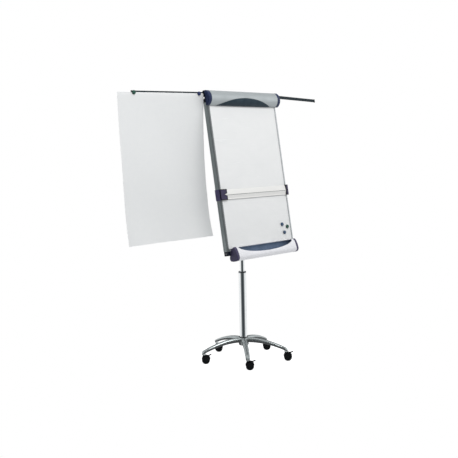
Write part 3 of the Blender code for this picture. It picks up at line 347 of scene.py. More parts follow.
LOOK = {
    "clamp": powder_paint("clamp_silver", (0.41, 0.445, 0.455), 0.45, 0.40),
    "tray": powder_paint("tray_silver", (0.80, 0.80, 0.83), 0.22, 0.38),
    "plate": powder_paint("plate_silver", (0.52, 0.54, 0.56)),
    "cast": powder_paint("base_silver", (0.43, 0.465, 0.465), 0.90, 0.26),
    # painted reflection: a darker band for the valley on top of each arm
    "cast_painted_reflection": powder_paint("base_painted_reflection", (0.20, 0.22, 0.225), 0.85, 0.38),
    # painted shade: near-black finish for the base's downward faces and the hub's lower side
    "cast_painted_shade": powder_paint("base_painted_shade", (0.055, 0.060, 0.062), 0.3, 0.60),
    "profile": extrusion("profile_grey", (0.235, 0.265, 0.27), (420.0, 420.0, 3.0), 0.35),
    # painted shade: darker grey for the left profile's front lip and for the ruler's groove
    "painted_shade_grey": extrusion("painted_shade_extrusion_grey", (0.165, 0.180, 0.185), (420.0, 420.0, 3.0), 0.35),
    "rail": extrusion("rail_grey", (0.42, 0.44, 0.45), (3.0, 420.0, 420.0)),
    "chrome": chrome("chrome_tube"),
    "enamel": enamel("enamel_white"),
    "backing": backing("board_back"),
    "navy": moulded("navy_plastic", (0.012, 0.024, 0.078), 0.40),
    "navy_dark": moulded("navy_dark_plastic", (0.006, 0.009, 0.020), 0.42),
    "purple": moulded("purple_plastic", (0.080, 0.066, 0.160), 0.42),
    "slider_face": moulded("slider_plastic", (0.034, 0.027, 0.072), 0.42),
    "slider_rim": moulded("slider_rim_plastic", (0.006, 0.005, 0.011), 0.42),
    "tray_cap": moulded("tray_cap_plastic", (0.064, 0.056, 0.112), 0.42),
    "liner": moulded("tray_liner_plastic", (0.21, 0.28, 0.40), 0.48, specular=0.12),
    "inlay": inlay("dark_inlay"),
    "black": moulded("black_nylon", (0.004, 0.005, 0.006), 0.46, specular=0.08),
    "collar": powder_paint("collar_grey", (0.17, 0.18, 0.19), 0.85, 0.22),
    "tyre": moulded("black_tread", (0.004, 0.004, 0.005), 0.62, 700.0, 0.4, specular=0.05),
    "arm": moulded("arm_black", (0.016, 0.025, 0.030), 0.50, 1100.0, 0.12, specular=0.06),
    "white": white_moulding("white_plastic"),
    "bronze": moulded("brown_plastic", (0.16, 0.13, 0.11), 0.50),
    "magnet_blue": moulded("magnet_blue_plastic", (0.040, 0.080, 0.150), 0.32, 900.0, 0.10, 0.15),
    "magnet_green": moulded("magnet_green_plastic", (0.010, 0.075, 0.050), 0.32, 900.0, 0.10, 0.15),
    "magnet_ink": moulded("magnet_ink_plastic", (0.020, 0.034, 0.110), 0.32, 900.0, 0.10, 0.15),
    "paper": paper("flipchart_paper"),
    "steel": zinc("zinc_steel"),
}


# ---------------------------------------------------------------- shapes
def moved(bm, matrix):
    bmesh.ops.transform(bm, matrix=matrix, verts=bm.verts)
    return bm


def box(low, high):
    bm = bmesh.new()
    bmesh.ops.create_cube(bm, size=1.0)
    middle = (Vector(high) + Vector(low)) / 2
    size = Vector(high) - Vector(low)
    return moved(bm, shift(middle) @ Matrix.Diagonal((*size, 1.0)))


def mirrored_box(side, low, high):
    """A box whose x runs from low to high on the side asked for."""
    x = sorted((side * low[0], side * high[0]))
    return box((x[0], *low[1:]), (x[1], *high[1:]))


def loft(rows):
    """Skin a list of equal closed rows of points, and cap both ends."""
    bm = bmesh.new()
    rings = [[bm.verts.new(point) for point in row] for row in rows]
    for here, after in zip(rings, rings[1:]):
        for i in range(len(here)):
            j = (i + 1) % len(here)
            bm.faces.new((here[i], here[j], after[j], after[i]))
    bm.faces.new(rings[0])
    bm.faces.new(rings[-1][::-1])
    return bm


def cap(section_at, spans, side, start):
    """Loft an end cap outwards from x = start; spans hold (distance, growth of its section)."""
    return loft([[(side * (start + along), y, z) for y, z in section_at(grow)] for along, grow in spans])


def prism(outline, start, end):
    """Extrude an outline of (y, z) points along X."""
    return loft([[(x, y, z) for y, z in outline] for x in (start, end)])


def sideways(bm):
    """Swap X and Y."""
    return moved(bm, SWAP_XY)


def upright(outline, bottom, top):
    """Extrude an outline of (x, y) points along Z."""
    turn = Matrix(((0, 1, 0, 0), (0, 0, 1, 0), (1, 0, 0, 0), (0, 0, 0, 1)))
    return moved(prism(outline, bottom, top), turn)


def turned(profile, steps=64, axis="Z", centre=(0, 0, 0), ripple=None):
    """Turn a profile of (radius, height) points; ends on the axis are closed by a face.

    ripple(angle) multiplies the radius of the points near the widest one.
    """
    bm = bmesh.new()
    widest = max(r for r, h in profile)
    closed = all(r > 0 for r, h in profile)
    rings = []
    for k in range(steps):
        angle = tau * k / steps
        ring = []
        for r, h in profile:
            if r <= 0:
                continue
            if ripple and r > widest - 0.0012:
                r *= ripple(angle)
            ring.append(bm.verts.new((r * cos(angle), r * sin(angle), h)))
        rings.append(ring)
    count = len(rings[0])
    for k in range(steps):
        here, after = rings[k], rings[(k + 1) % steps]
        for i in range(count if closed else count - 1):
            j = (i + 1) % count
            bm.faces.new((here[i], after[i], after[j], here[j]))
    if not closed:
        bm.faces.new([ring[0] for ring in rings])
        bm.faces.new([ring[-1] for ring in reversed(rings)])
    if axis == "X":
        moved(bm, spin(pi / 2, "Y"))
    if axis == "Y":
        moved(bm, spin(-pi / 2, "X"))
    return moved(bm, shift(centre))


def rod(radius, low, high, steps, axis="Z", centre=(0, 0, 0)):
    """A round rod between two heights along its axis."""
    return turned([(0, low), (radius, low), (radius, high), (0, high)], steps, axis, centre)


def arc(centre, radius, start, end, steps):
    """Points on an arc; angles in degrees from the first coordinate towards the second."""
    angles = [radians(start + (end - start) * k / steps) for k in range(steps + 1)]
    return [(centre[0] + radius * cos(a), centre[1] + radius * sin(a)) for a in angles]


def bulged_arc(start, end, bulge, steps):
    """Points on the circle's arc from start to end that stands off its chord by bulge, to the left."""
    a, b = Vector(start), Vector(end)
    chord = b - a
    half = chord.length / 2
    radius = (half * half + bulge * bulge) / (2 * bulge)
    normal = Vector((-chord.y, chord.x)).normalized()
    centre = (a + b) / 2 - normal * (radius - bulge)
    opening = asin(min(1.0, half / radius))
    middle = atan2(normal.y, normal.x)
    angles = [middle + opening * (1 - 2 * k / steps) for k in range(steps + 1)]
    return [(centre.x + radius * cos(t), centre.y + radius * sin(t)) for t in angles]


def smooth_loop(points, per_span):
    """Points on a closed Catmull-Rom curve through the given ones."""
    count = len(points)
    out = []
    for k in range(count):
        a, b, c, d = (Vector(points[(k + i) % count]) for i in (-1, 0, 1, 2))
        for s in range(per_span):
            t = s / per_span
            bend = (2 * a - 5 * b + 4 * c - d) * t * t + (d - a + 3 * b - 3 * c) * t**3
            out.append(tuple(0.5 * (2 * b + (c - a) * t + bend)))
    return out


def at(outline, share):
    """The point and the left-hand normal at a share of an open outline's length."""
    lengths = [(Vector(b) - Vector(a)).length for a, b in zip(outline, outline[1:])]
    left = max(0.0, min(1.0, share)) * sum(lengths)
    for k, length in enumerate(lengths):
        if left <= length or k == len(lengths) - 1:
            break
        left -= length
    a, b = Vector(outline[k]), Vector(outline[k + 1])
    way = (b - a).normalized()
    return a + way * left, Vector((-way.y, way.x))


def offset_outline(outline, distance):
    """An open outline moved to its left by distance."""
    out = []
    for k, point in enumerate(outline):
        before = Vector(outline[max(0, k - 1)])
        after = Vector(outline[min(len(outline) - 1, k + 1)])
        way = (after - before).normalized()
        out.append((point[0] - way.y * distance, point[1] + way.x * distance))
    return out


def offset_loop(outline, distance):
    """A closed outline moved to its left by distance."""
    return offset_outline([outline[-1], *outline, outline[0]], distance)[1:-1]


def pipe(outer, inner, start, end):
    """A pipe along X between two equal closed outlines."""
    bm = bmesh.new()
    rims = [[bm.verts.new((x, y, z)) for y, z in loop] for x in (start, end) for loop in (outer, inner)]
    for a, b in ((0, 1), (2, 3), (0, 2), (1, 3)):
        for i in range(len(outer)):
            j = (i + 1) % len(outer)
            bm.faces.new((rims[a][i], rims[a][j], rims[b][j], rims[b][i]))
    return bm


def shell(near, far):
    """Two equal grids of points joined into one closed shell."""
    bm = bmesh.new()
    a, b = [[[bm.verts.new(point) for point in row] for row in grid] for grid in (near, far)]
    rows, columns = len(near), len(near[0])
    for grid in (a, b):
        for i in range(rows - 1):
            for k in range(columns - 1):
                bm.faces.new((grid[i][k], grid[i + 1][k], grid[i + 1][k + 1], grid[i][k + 1]))
    for i in range(rows - 1):
        for k in (0, columns - 1):
            bm.faces.new((a[i][k], b[i][k], b[i + 1][k], a[i + 1][k]))
    for i in (0, rows - 1):
        for k in range(columns - 1):
            bm.faces.new((a[i][k], a[i][k + 1], b[i][k + 1], b[i][k]))
    return bm


def smoothstep(t):
    t = max(0.0, min(1.0, t))
    return t * t * (3 - 2 * t)


# ---------------------------------------------------------------- making pieces
def mesh_object(name, bm, matrix):
    """A mesh object with its vertices in the row frame and outward faces."""
    moved(bm, matrix)
    bmesh.ops.recalc_face_normals(bm, faces=bm.faces)
    mesh = bpy.data.meshes.new(name)
    bm.to_mesh(mesh)
    bm.free()
    obj = bpy.data.objects.new(name, mesh)
    bpy.context.scene.collection.objects.link(obj)
    return obj


def settle(obj):
    """Replace the object's mesh with what its modifiers make."""
    graph = bpy.context.evaluated_depsgraph_get()
    made = bpy.data.meshes.new_from_object(obj.evaluated_get(graph))
    obj.modifiers.clear()
    obj.data = made


def cut(obj, bm, matrix, operation="DIFFERENCE"):
    """Boolean the mesh into the object, at once."""
    tool = mesh_object("tool", bm, matrix)
    modifier = obj.modifiers.new("cut", "BOOLEAN")
    modifier.operation = operation
    modifier.solver = "EXACT"
    modifier.object = tool
    settle(obj)
    bpy.data.objects.remove(tool)


def add(obj, bm, matrix):
    """Boolean union of the mesh into the object."""
    cut(obj, bm, matrix, "UNION")


def join(obj, bm, matrix):
    """Put the mesh beside the object's own, without a Boolean."""
    part = mesh_object("part", bm, matrix)
    both = bmesh.new()
    both.from_mesh(obj.data)
    both.from_mesh(part.data)
    both.to_mesh(obj.data)
    both.free()
    bpy.data.objects.remove(part)


def weld(mesh):
    """Merge almost touching points and drop seams across flat faces, which leaves room for bevels."""
    reach, flat = 3e-5, radians(0.4)
    bm = bmesh.new()
    bm.from_mesh(mesh)
    bmesh.ops.remove_doubles(bm, verts=bm.verts, dist=reach)
    bmesh.ops.dissolve_degenerate(bm, dist=reach, edges=bm.edges)
    bmesh.ops.dissolve_limit(bm, angle_limit=flat, verts=bm.verts, edges=bm.edges)
    bm.to_mesh(mesh)
    bm.free()


def dress(obj, body, look, nodes=(), edge=0.0005, angle=32.0):
    """Round the edges, give the finish, and hang the piece on its body in place of the CAD nodes."""
    obj.data.materials.clear()
    obj.data.materials.append(LOOK[look])
    if edge:
        weld(obj.data)
    obj.data.shade_smooth()
    if edge:
        bevel = obj.modifiers.new("edges", "BEVEL")
        bevel.width = edge
        bevel.segments = 2
        bevel.limit_method = "ANGLE"
        bevel.angle_limit = radians(angle)
        bevel.harden_normals = True
        bevel.use_clamp_overlap = True
    else:
        obj.data.set_sharp_from_angle(angle=radians(angle))
    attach(obj, body)
    if nodes:
        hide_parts(*nodes)
    return obj


def piece(name, bm, matrix, body, look, nodes=(), edge=0.0005, angle=32.0):
    return dress(mesh_object(name, bm, matrix), body, look, nodes, edge, angle)


def paint(obj, look, chosen):
    """Give one more finish to the faces that chosen(face) picks."""
    obj.data.materials.append(LOOK[look])
    for face in obj.data.polygons:
        if chosen(face):
            face.material_index = len(obj.data.materials) - 1


def screw(name, matrix, body, radius, height):
    """A pan-head screw with a cross recess; its head's underside is at the matrix's origin, facing +Z."""
    profile = [(0, 0), (radius, 0), (radius, height * 0.4), (radius * 0.8, height * 0.85)]
    profile += [(radius * 0.45, height), (0, height)]
    head = mesh_object(name, turned(profile, 24), matrix)
    for k in (0, 1):
        low = (-radius * 0.55, -radius * 0.13, height * 0.45)
        high = (radius * 0.55, radius * 0.13, height * 1.5)
        cut(head, moved(box(low, high), spin(k * pi / 2, "Z")), matrix)
    dress(head, body, "steel", edge=0.0)


# ---------------------------------------------------------------- base
def arm_half(share):
    """Half the width of a base arm at a share of its length."""
    return 0.0205 - 0.0045 * share


def arm_section(half, depth, roof):
    """Points (across, below the ridge) of a base arm: up its left side, over the valley, and the channel."""
    inner = max(0.0015, half - ARM_WALL)
    section = [(-half * 0.90, -depth), (-half, -depth * 0.48), (-half * 0.86, -depth * 0.17)]
    section += [(-half * 0.62, -0.0010), (-half * 0.36, 0.0), (-half * 0.26, -0.0012)]
    section += [(half * 0.20, -0.0012), (half * 0.30, 0.0), (half * 0.62, -0.0010)]
    section += [(half * 0.86, -depth * 0.17), (half, -depth * 0.48), (half * 0.90, -depth)]
    section += [(inner * 0.90, -depth), (inner * 0.85, -depth + roof)]
    section += [(-inner * 0.85, -depth + roof), (-inner * 0.90, -depth)]
    return section


def base_arm(angle):
    """One arched arm: a shallow valley between two shoulders on top, and an open channel underneath."""
    count = 40
    rows = []
    for k in range(count + 1):
        share = k / count
        radius = ARM_START + (ARM_END - ARM_START) * share
        fall = max(0.0, (radius - HUB_RADIUS) / (ARM_END - HUB_RADIUS))
        tip = max(0.0, (radius - (ARM_END - ARM_NOSE)) / ARM_NOSE)
        top = ARM_TOP - (ARM_TOP - ARM_FOOT) * fall**1.9 - 0.004 * tip * tip
        half = arm_half(share) * sqrt(max(0.08, 1 - tip * tip))
        depth = 0.034 - 0.015 * share
        roof = depth - 0.0085 if radius > 0.05 and tip < 0.15 else 0.001
        rows.append([(radius, y, top + z) for y, z in arm_section(half, depth, roof)])
    return moved(loft(rows), spin(radians(angle), "Z"))


def arm_tip(angle):
    """The castor's axis on the floor under a base arm's tip, from the column's axis."""
    return spin(radians(angle), "Z") @ Vector((CASTOR_CIRCLE, 0, 0))


def in_valley(point):
    """Whether a point in a base arm's own frame lies in the valley between its shoulders, where a dark
    reflection is painted.
    """
    half = arm_half(point.x / CASTOR_CIRCLE)
    return 0.046 < point.x < CASTOR_CIRCLE - 0.014 and -0.36 * half < point.y < 0.30 * half


def star_base():
    """The casting: hub, arms and bosses in one body, bored for the column; its downward faces and the hub's
    lower side are painted near black as shade, and each arm's valley gets a painted dark reflection.
    """
    hub = [(0, 0.1020), (0.030, 0.1020), (0.0335, 0.1035), (HUB_RADIUS, 0.1080), (HUB_RADIUS, 0.1500)]
    hub += [(0.0352, 0.1545), (0.0325, 0.1575), (0.0290, 0.1600), (0, 0.1600)]
    boss = [(0, 0.0628), (0.0112, 0.0628), (0.0125, 0.0640), (0.0128, 0.0800), (0, 0.0800)]
    base = mesh_object("base_casting", turned(hub, 72), AT_COLUMN)
    for angle in ARM_ANGLES:
        add(base, base_arm(angle), AT_COLUMN)
    for angle in ARM_ANGLES:
        add(base, turned(boss, 36), AT_COLUMN @ shift(arm_tip(angle)))
    cut(base, rod(COLUMN_BORE, 0.1097, 0.1750, 96), AT_COLUMN)
    dress(base, "base", "cast", ["star_base"], edge=0.0009, angle=38.0)
    spokes = [(AT_COLUMN @ spin(radians(angle), "Z")).inverted() for angle in ARM_ANGLES]

    # Painted shade: faces that look downwards, and the hub below 0.13 m, are painted near black as the shade
    # under the base.
    def in_painted_shade(face):
        from_axis = AT_COLUMN.inverted() @ face.center
        return face.normal.z < -0.05 or (from_axis.xy.length < 0.040 and from_axis.z < 0.1300)

    # Painted reflection: upward faces in each arm's valley are painted darker, as the dark band a polished
    # arm reflects there.
    def in_painted_reflection(face):
        return face.normal.z > 0.6 and any(in_valley(spoke @ face.center) for spoke in spokes)

    paint(base, "cast_painted_shade", in_painted_shade)
    paint(base, "cast_painted_reflection", in_painted_reflection)


def hub_parts():
    """The black ring around the column's foot, and the screw that clamps the column in the hub."""
    ring = [(0.0256, 0.1598), (0.0300, 0.1598), (0.0306, 0.1606), (0.0300, 0.1622)]
    ring += [(0.0268, 0.1632), (0.0256, 0.1632)]
    piece("hub_ring", turned(ring, 72), AT_COLUMN, "base", "black", edge=0.0, angle=40.0)
    between = spin(radians(ARM_ANGLES[0] + 36.0), "Z")
    place = AT_COLUMN @ between @ shift((HUB_RADIUS + 0.0001, 0, 0.130)) @ spin(pi / 2, "Y")
    screw("hub_screw", place, "base", 0.0042, 0.0022)


def castor_place(angle):
    """Matrix from a castor's own frame, with +X along its trail, to the row frame."""
    return AT_COLUMN @ shift(arm_tip(angle)) @ spin(TRAIL_ANGLE, "Z")


def castor_hood(number, place):
    """Hood over both wheels, the web between them, the swivel boss and the steel stem."""
    axle = (TRAIL, WHEEL_RADIUS)
    body = f"castor_{number}"
    half = WHEEL_INNER - 0.0004
    web = [(TRAIL - 0.0065, 0.015), (TRAIL + 0.0065, 0.015)] + arc(axle, 0.8 * WHEEL_RADIUS, -30, 90, 16)
    web += [(0.0085, 0.0600), (-0.0085, 0.0600), (-0.0085, 0.0400)]
    hood = mesh_object(f"castor_hood_{number}_body", sideways(prism(web, -half, half)), place)
    cover = arc(axle, 0.0314, 12, 168, 30) + arc(axle, WHEEL_RADIUS + 0.0011, 168, 12, 30)
    add(hood, sideways(prism(cover, -WHEEL_OUTER, WHEEL_OUTER)), place)
    rib = [(TRAIL - 0.012, 0.045), (TRAIL + 0.012, 0.045)]
    rib += [(TRAIL + 0.0105, 0.0592), (TRAIL - 0.0105, 0.0592)]
    add(hood, sideways(prism(rib, -half, half)), place)
    boss = [(0, 0.0572), (0.0098, 0.0572), (0.0095, 0.0616), (0.0088, 0.0621), (0, 0.0621)]
    add(hood, turned(boss, 40), place)
    dress(hood, body, "black", [f"castor_hood_{number}"], edge=0.0006)
    piece(f"castor_stem_{number}", rod(0.0049, 0.060, 0.0640, 32), place, body, "steel", edge=0.0002)


def tyre_profile():
    """A tyre's section (radius, distance from the castor's middle), with a groove round its tread."""
    r, inner, outer = WHEEL_RADIUS, WHEEL_INNER, WHEEL_OUTER
    tread = [(r - 0.0062, inner + 0.0004), (r - 0.0016, inner), (r - 0.0004, inner + 0.0010)]
    tread += [(r, inner + 0.0030), (r, inner + 0.0066), (r - 0.0007, inner + 0.0070)]
    tread += [(r - 0.0007, inner + 0.0080), (r, inner + 0.0084), (r, outer - 0.0030)]
    tread += [(r - 0.0004, outer - 0.0012), (r - 0.0018, outer), (r - 0.0062, outer - 0.0004)]
    return tread


def disc_profile():
    """A wheel's section inside its tyre: a raised rim, a dished web and a hub cap."""
    r, inner, outer = WHEEL_RADIUS, WHEEL_INNER, WHEEL_OUTER
    disc = [(0, inner + 0.0004), (r - 0.0066, inner + 0.0004), (r - 0.0066, outer - 0.0008)]
    disc += [(r - 0.0084, outer - 0.0004), (r - 0.0100, outer - 0.0012), (r - 0.0112, outer - 0.0042)]
    disc += [(0.0090, outer - 0.0050), (0.0080, outer - 0.0042), (0.0076, outer - 0.0016)]
    disc += [(0.0068, outer - 0.0008), (0, outer - 0.0006)]
    return disc


def castor_wheels(number, place):
    """Two wheels with grooved treads and eight ribs on each disc, and their axle."""
    r, outer = WHEEL_RADIUS, WHEEL_OUTER
    body = f"wheels_{number}"
    for name, side in (("near", -1), ("far", 1)):
        facing = place @ shift((TRAIL, 0, r)) @ spin(-side * pi / 2, "X")
        shown = [f"castor_wheels_{number}"] if side > 0 else []
        tyre = turned(tyre_profile(), 56)
        piece(f"tyre_{number}_{name}", tyre, facing, body, "tyre", shown, edge=0.0, angle=50.0)
        wheel = mesh_object(f"wheel_{number}_{name}", turned(disc_profile(), 56), facing)
        for k in range(8):
            rib = box((0.0075, -0.0007, outer - 0.0052), (r - 0.0108, 0.0007, outer - 0.0020))
            join(wheel, moved(rib, spin(tau * k / 8, "Z")), facing)
        dress(wheel, body, "black", edge=0.0, angle=35.0)
    axle = rod(0.0030, -0.0066, 0.0066, 24, "Y", (TRAIL, 0, r))
    piece(f"castor_axle_{number}", axle, place, body, "steel", edge=0.0)


def castor_brake(number, place):
    """Foot lever with two grip ribs across its pedal."""
    top = [(0.0385, 0.0675), (0.0360, 0.0672), (0.0240, 0.0620), (0.0170, 0.0606)]
    bottom = [(0.0125, 0.0605), (0.0165, 0.0568), (0.0255, 0.0575), (0.0395, 0.0640)]
    outline = [(TRAIL + x, z) for x, z in top + bottom]
    lever = mesh_object(f"brake_lever_{number}", sideways(prism(outline, -0.0085, 0.0085)), place)
    for x, z in ((0.0300, 0.0642), (0.0340, 0.0659)):
        rib = [(TRAIL + x - 0.0008, z - 0.001), (TRAIL + x + 0.0008, z - 0.0004), (TRAIL + x, z + 0.0012)]
        join(lever, sideways(prism(rib, -0.0070, 0.0070)), place)
    dress(lever, f"brake_{number}", "black", [f"castor_brake_{number}"], edge=0.0007)


def castors():
    for number, angle in enumerate(ARM_ANGLES, 1):
        place = castor_place(angle)
        castor_hood(number, place)
        castor_wheels(number, place)
        if number in BRAKED:
            castor_brake(number, place)


# ---------------------------------------------------------------- column
def collar_flute(angle):
    """Share of the collar's radius at an angle: forty shallow grip flutes."""
    return 1.0 - 0.010 * (0.5 + 0.5 * cos(40 * angle)) ** 3


def chrome_tube(name, profile, steps, body, node):
    piece(name, turned(profile, steps), AT_COLUMN, body, "chrome", [node], edge=0.0, angle=30.0)


def column():
    """Chromed tubes, the fluted twist collar and the white guide parts inside."""
    outer = [(0.0235, 0.110), (0.0252, 0.110), (0.0255, 0.1103), (0.0255, 0.6325)]
    outer += [(0.0252, 0.6330), (0.0235, 0.6330)]
    chrome_tube("column_outer", outer, 96, "base", "outer_tube")
    inner = [(0.0147, 0.504), (0.0162, 0.504), (0.0165, 0.5044), (0.0165, 1.320), (0.0147, 1.320)]
    chrome_tube("column_inner", inner, 80, "lift", "inner_tube")
    ring = [(0.0258, 0.6280), (0.0271, 0.6280), (0.0275, 0.6288), (0.0275, 0.6374)]
    ring += [(0.0270, 0.6384), (0.0258, 0.6388), (0.0175, 0.6390), (0.0171, 0.6386)]
    ring += [(0.0171, 0.6334), (0.0258, 0.6334)]
    collar, nodes = turned(ring, 320, ripple=collar_flute), ["lock_collar"]
    piece("twist_collar", collar, AT_COLUMN, "collar", "collar", nodes, edge=0.0, angle=40.0)
    slotted = arc((0, 0), 0.0232, 12, 348, 60) + arc((0, 0), 0.0169, 348, 12, 60)
    sleeve = upright(slotted, 0.599, 0.632)
    piece("collet_sleeve", sleeve, AT_COLUMN, "base", "white", ["lock_collet"], edge=0.0003)
    ring = [(0.0168, 0.508), (0.0229, 0.508), (0.0232, 0.509), (0.0232, 0.537)]
    ring += [(0.0229, 0.538), (0.0168, 0.538)]
    bush, nodes = turned(ring), ["guide_bush"]
    piece("guide_sleeve", bush, AT_COLUMN, "lift", "white", nodes, edge=0.0, angle=40.0)


def tilt_head():
    """Cast head: a socket with a rim bead, and a tongue bored for the pin."""
    socket = [(0, 1.3203), (0.0168, 1.3203), (0.0168, 1.2720), (0.0212, 1.2720), (0.0226, 1.2735)]
    socket += [(0.0227, 1.2780), (0.0220, 1.2795), (0.0222, 1.3180), (0.0227, 1.3215)]
    socket += [(0.0222, 1.3262), (0.0196, 1.3298), (0, 1.3300)]
    head = mesh_object("tilt_head_casting", turned(socket, 64), AT_COLUMN)
    tongue = [(-0.0170, 1.324), (0.0170, 1.324)] + arc((0, PIN_HEIGHT), 0.0150, -5, 185, 32)
    add(head, prism(tongue, -0.0100, 0.0100), AT_COLUMN)
    cut(head, rod(PIN_BORE, -0.03, 0.03, 32, "X", (0, 0, PIN_HEIGHT)), AT_COLUMN)
    dress(head, "lift", "cast", ["tilt_head"], edge=0.0008)
    screw("socket_screw", AT_COLUMN @ shift((0, -0.0222, 1.300)) @ spin(pi / 2, "X"), "lift", 0.0034, 0.0018)


def tilt_yoke():
    """Folded plate with two ears, bored for the pin and screwed to the back rails."""
    low, high = (-0.060, YOKE_BACK, 0.472), (0.060, YOKE_BACK + 0.003, 0.628)
    yoke = mesh_object("tilt_bracket", box(low, high), TILT)
    root, bend = YOKE_BACK + 0.001, YOKE_BACK + 0.020
    ear = [(root, EDGE_TO_PIN - 0.045), (bend, EDGE_TO_PIN - 0.040)]
    ear += arc(PIN_CENTRE[1:], 0.016, -60, 60, 24)
    ear += [(bend, EDGE_TO_PIN + 0.040), (root, EDGE_TO_PIN + 0.045)]
    for side in (-1, 1):
        x = sorted((side * 0.0104, side * 0.0154))
        add(yoke, prism(ear, *x), TILT)
    cut(yoke, rod(PIN_BORE, -0.03, 0.03, 32, "X", PIN_CENTRE), TILT)
    dress(yoke, "board", "plate", ["tilt_yoke"], edge=0.0007)
    for i, x in enumerate((-0.048, 0.048)):
        for k, z in enumerate(RAIL_SCREWS):
            place = TILT @ shift((x, YOKE_BACK + 0.003, z)) @ BACKWARDS
            screw(f"bracket_screw_{i}{k}", place, "board", 0.0045, 0.0024)


def tilt_pin():
    """The headed pin through yoke and head."""
    pin = [(0, -0.0205), (0.0078, -0.0205), (0.0088, -0.0198), (0.0090, -0.0160), (0.0050, -0.0160)]
    pin += [(0.0050, 0.0296), (0.0046, 0.0300), (0, 0.0300)]
    bolt = turned(pin, 48, "X", PIN_CENTRE)
    piece("tilt_bolt", bolt, TILT, "board", "steel", ["tilt_pin"], edge=0.0003)


def tilt_knob():
    """Six-lobed star knob with a round neck, bored for the pin."""
    lobes = []
    for k in range(96):
        angle = tau * k / 96
        radius = 0.0172 + 0.0024 * cos(6 * angle)
        lobes.append((FRONT_TO_PIN + radius * cos(angle), EDGE_TO_PIN + radius * sin(angle)))
    knob = mesh_object("tilt_star_knob", prism(lobes, 0.0190, 0.0345), TILT)
    neck = [(0, 0.0165), (0.0098, 0.0165), (0.0105, 0.0200), (0, 0.0200)]
    add(knob, turned(neck, 40, "X", PIN_CENTRE), TILT)
    cut(knob, rod(0.0054, 0.010, 0.0305, 32, "X", PIN_CENTRE), TILT)
    dress(knob, "knob", "black", ["tilt_knob"], edge=0.0018)


# ---------------------------------------------------------------- board
def side_profile(name, side):
    """Upright extrusion with a grooved outer wall; its front lip is painted darker as shade on the left
    profile and lighter as painted light on the right one.
    """
    outer, front, back, wall = HALF_WIDTH, -0.0020, PROFILE_BACK, 0.0025
    outline = [(INNER_HALF, front), (INNER_HALF, front + wall), (outer - wall, front + wall)]
    outline += [(outer - wall, back - 0.0065), (outer - 0.0060, back - wall), (INNER_HALF, back - wall)]
    outline += [(INNER_HALF, back), (outer - 0.0060, back), (outer - 0.0036, back - 0.0006)]
    outline += [(outer - 0.0018, back - 0.0020), (outer - 0.0005, back - 0.0040), (outer, back - 0.0062)]
    outline += [(outer, back - 0.0120), (outer - 0.0006, back - 0.0124), (outer - 0.0006, back - 0.0136)]
    outline += [(outer, back - 0.0140), (outer, front + 0.0100), (outer - 0.0009, front + 0.0096)]
    outline += [(outer - 0.0009, front + 0.0078), (outer, front + 0.0074), (outer, front + 0.0040)]
    outline += [(outer - 0.0006, front + 0.0018), (outer - 0.0022, front + 0.0003), (outer - 0.0036, front)]
    bm = upright([(side * x, y) for x, y in outline], -0.012, PROFILE_TOP)
    bar = mesh_object(f"profile_{name}", bm, TILT)
    dress(bar, "board", "profile", [f"side_profile_{name}"], edge=0.0003, angle=40.0)
    lip_back = front + 0.0079
    # Painted light and shade: the left lip is painted darker as shade, the right lip lighter in the rail's
    # grey as painted light.
    look = "painted_shade_grey" if name == "left" else "rail"
    paint(bar, look, lambda face: in_board(face.center).y < lip_back)


def rails():
    """Hollow back rails with a screw at each end, and the solid lower rail."""
    half = INNER_HALF - 0.001
    front, back = RAIL_FRONT, RAIL_FRONT + RAIL_DEPTH
    for name, z in (("lower", 0.470), ("upper", 0.600)):
        top = z + RAIL_HEIGHT
        outer = [(front, z), (back, z), (back, top), (front, top)]
        hole = [(front + RAIL_WALL, z + RAIL_WALL), (back - RAIL_WALL, z + RAIL_WALL)]
        hole += [(back - RAIL_WALL, top - RAIL_WALL), (front + RAIL_WALL, top - RAIL_WALL)]
        bm = pipe(outer, hole, -half, half)
        piece(f"rail_{name}", bm, TILT, "board", "rail", [f"back_rail_{name}"], edge=0.0008)
    lower = box((-half, 0.0095, -0.034), (half, 0.030, 0.0034))
    piece("rail_bottom", lower, TILT, "board", "rail", ["bottom_rail"], edge=0.0014)
    for side in (-1, 1):
        for k, z in enumerate(RAIL_SCREWS):
            place = TILT @ shift((side * 0.322, back, z)) @ BACKWARDS
            screw(f"rail_screw_{side + 1}{k}", place, "board", 0.0036, 0.0018)


def board():
    """Writing face, core with its back foil, and the frame around them."""
    half = INNER_HALF - 0.0006
    face = box((-half, 0.0006, 0.004), (half, 0.0016, PANEL_TOP))
    piece("writing_face", face, TILT, "board", "enamel", ["board_face"], edge=0.0002)
    core = box((-0.346, 0.0019, 0.004), (0.346, 0.0166, PANEL_TOP))
    piece("board_panel", core, TILT, "board", "backing", ["board_core"], edge=0.0006)
    for name, side in SIDES:
        side_profile(name, side)
    rails()


def corner_block(name, side):
    """Lower corner block over the end of the lower rail, with a screw in its outer face."""
    near = TRAY_HALF + TRAY_CAP + 0.0006
    bm = mirrored_box(side, (near, -0.0030, -0.042), (HALF_WIDTH, 0.0360, -0.0123))
    block = mesh_object(f"corner_block_{name}", bm, TILT)
    cut(block, box((-INNER_HALF, 0.0090, -0.036), (INNER_HALF, 0.0305, 0.01)), TILT)
    dress(block, "board", "navy_dark", [f"corner_bottom_{name}"], edge=0.0026)
    place = TILT @ shift((side * (HALF_WIDTH - 0.0002), 0.0180, -0.0272)) @ spin(side * pi / 2, "Y")
    screw(f"corner_screw_{name}", place, "board", 0.0034, 0.0012)


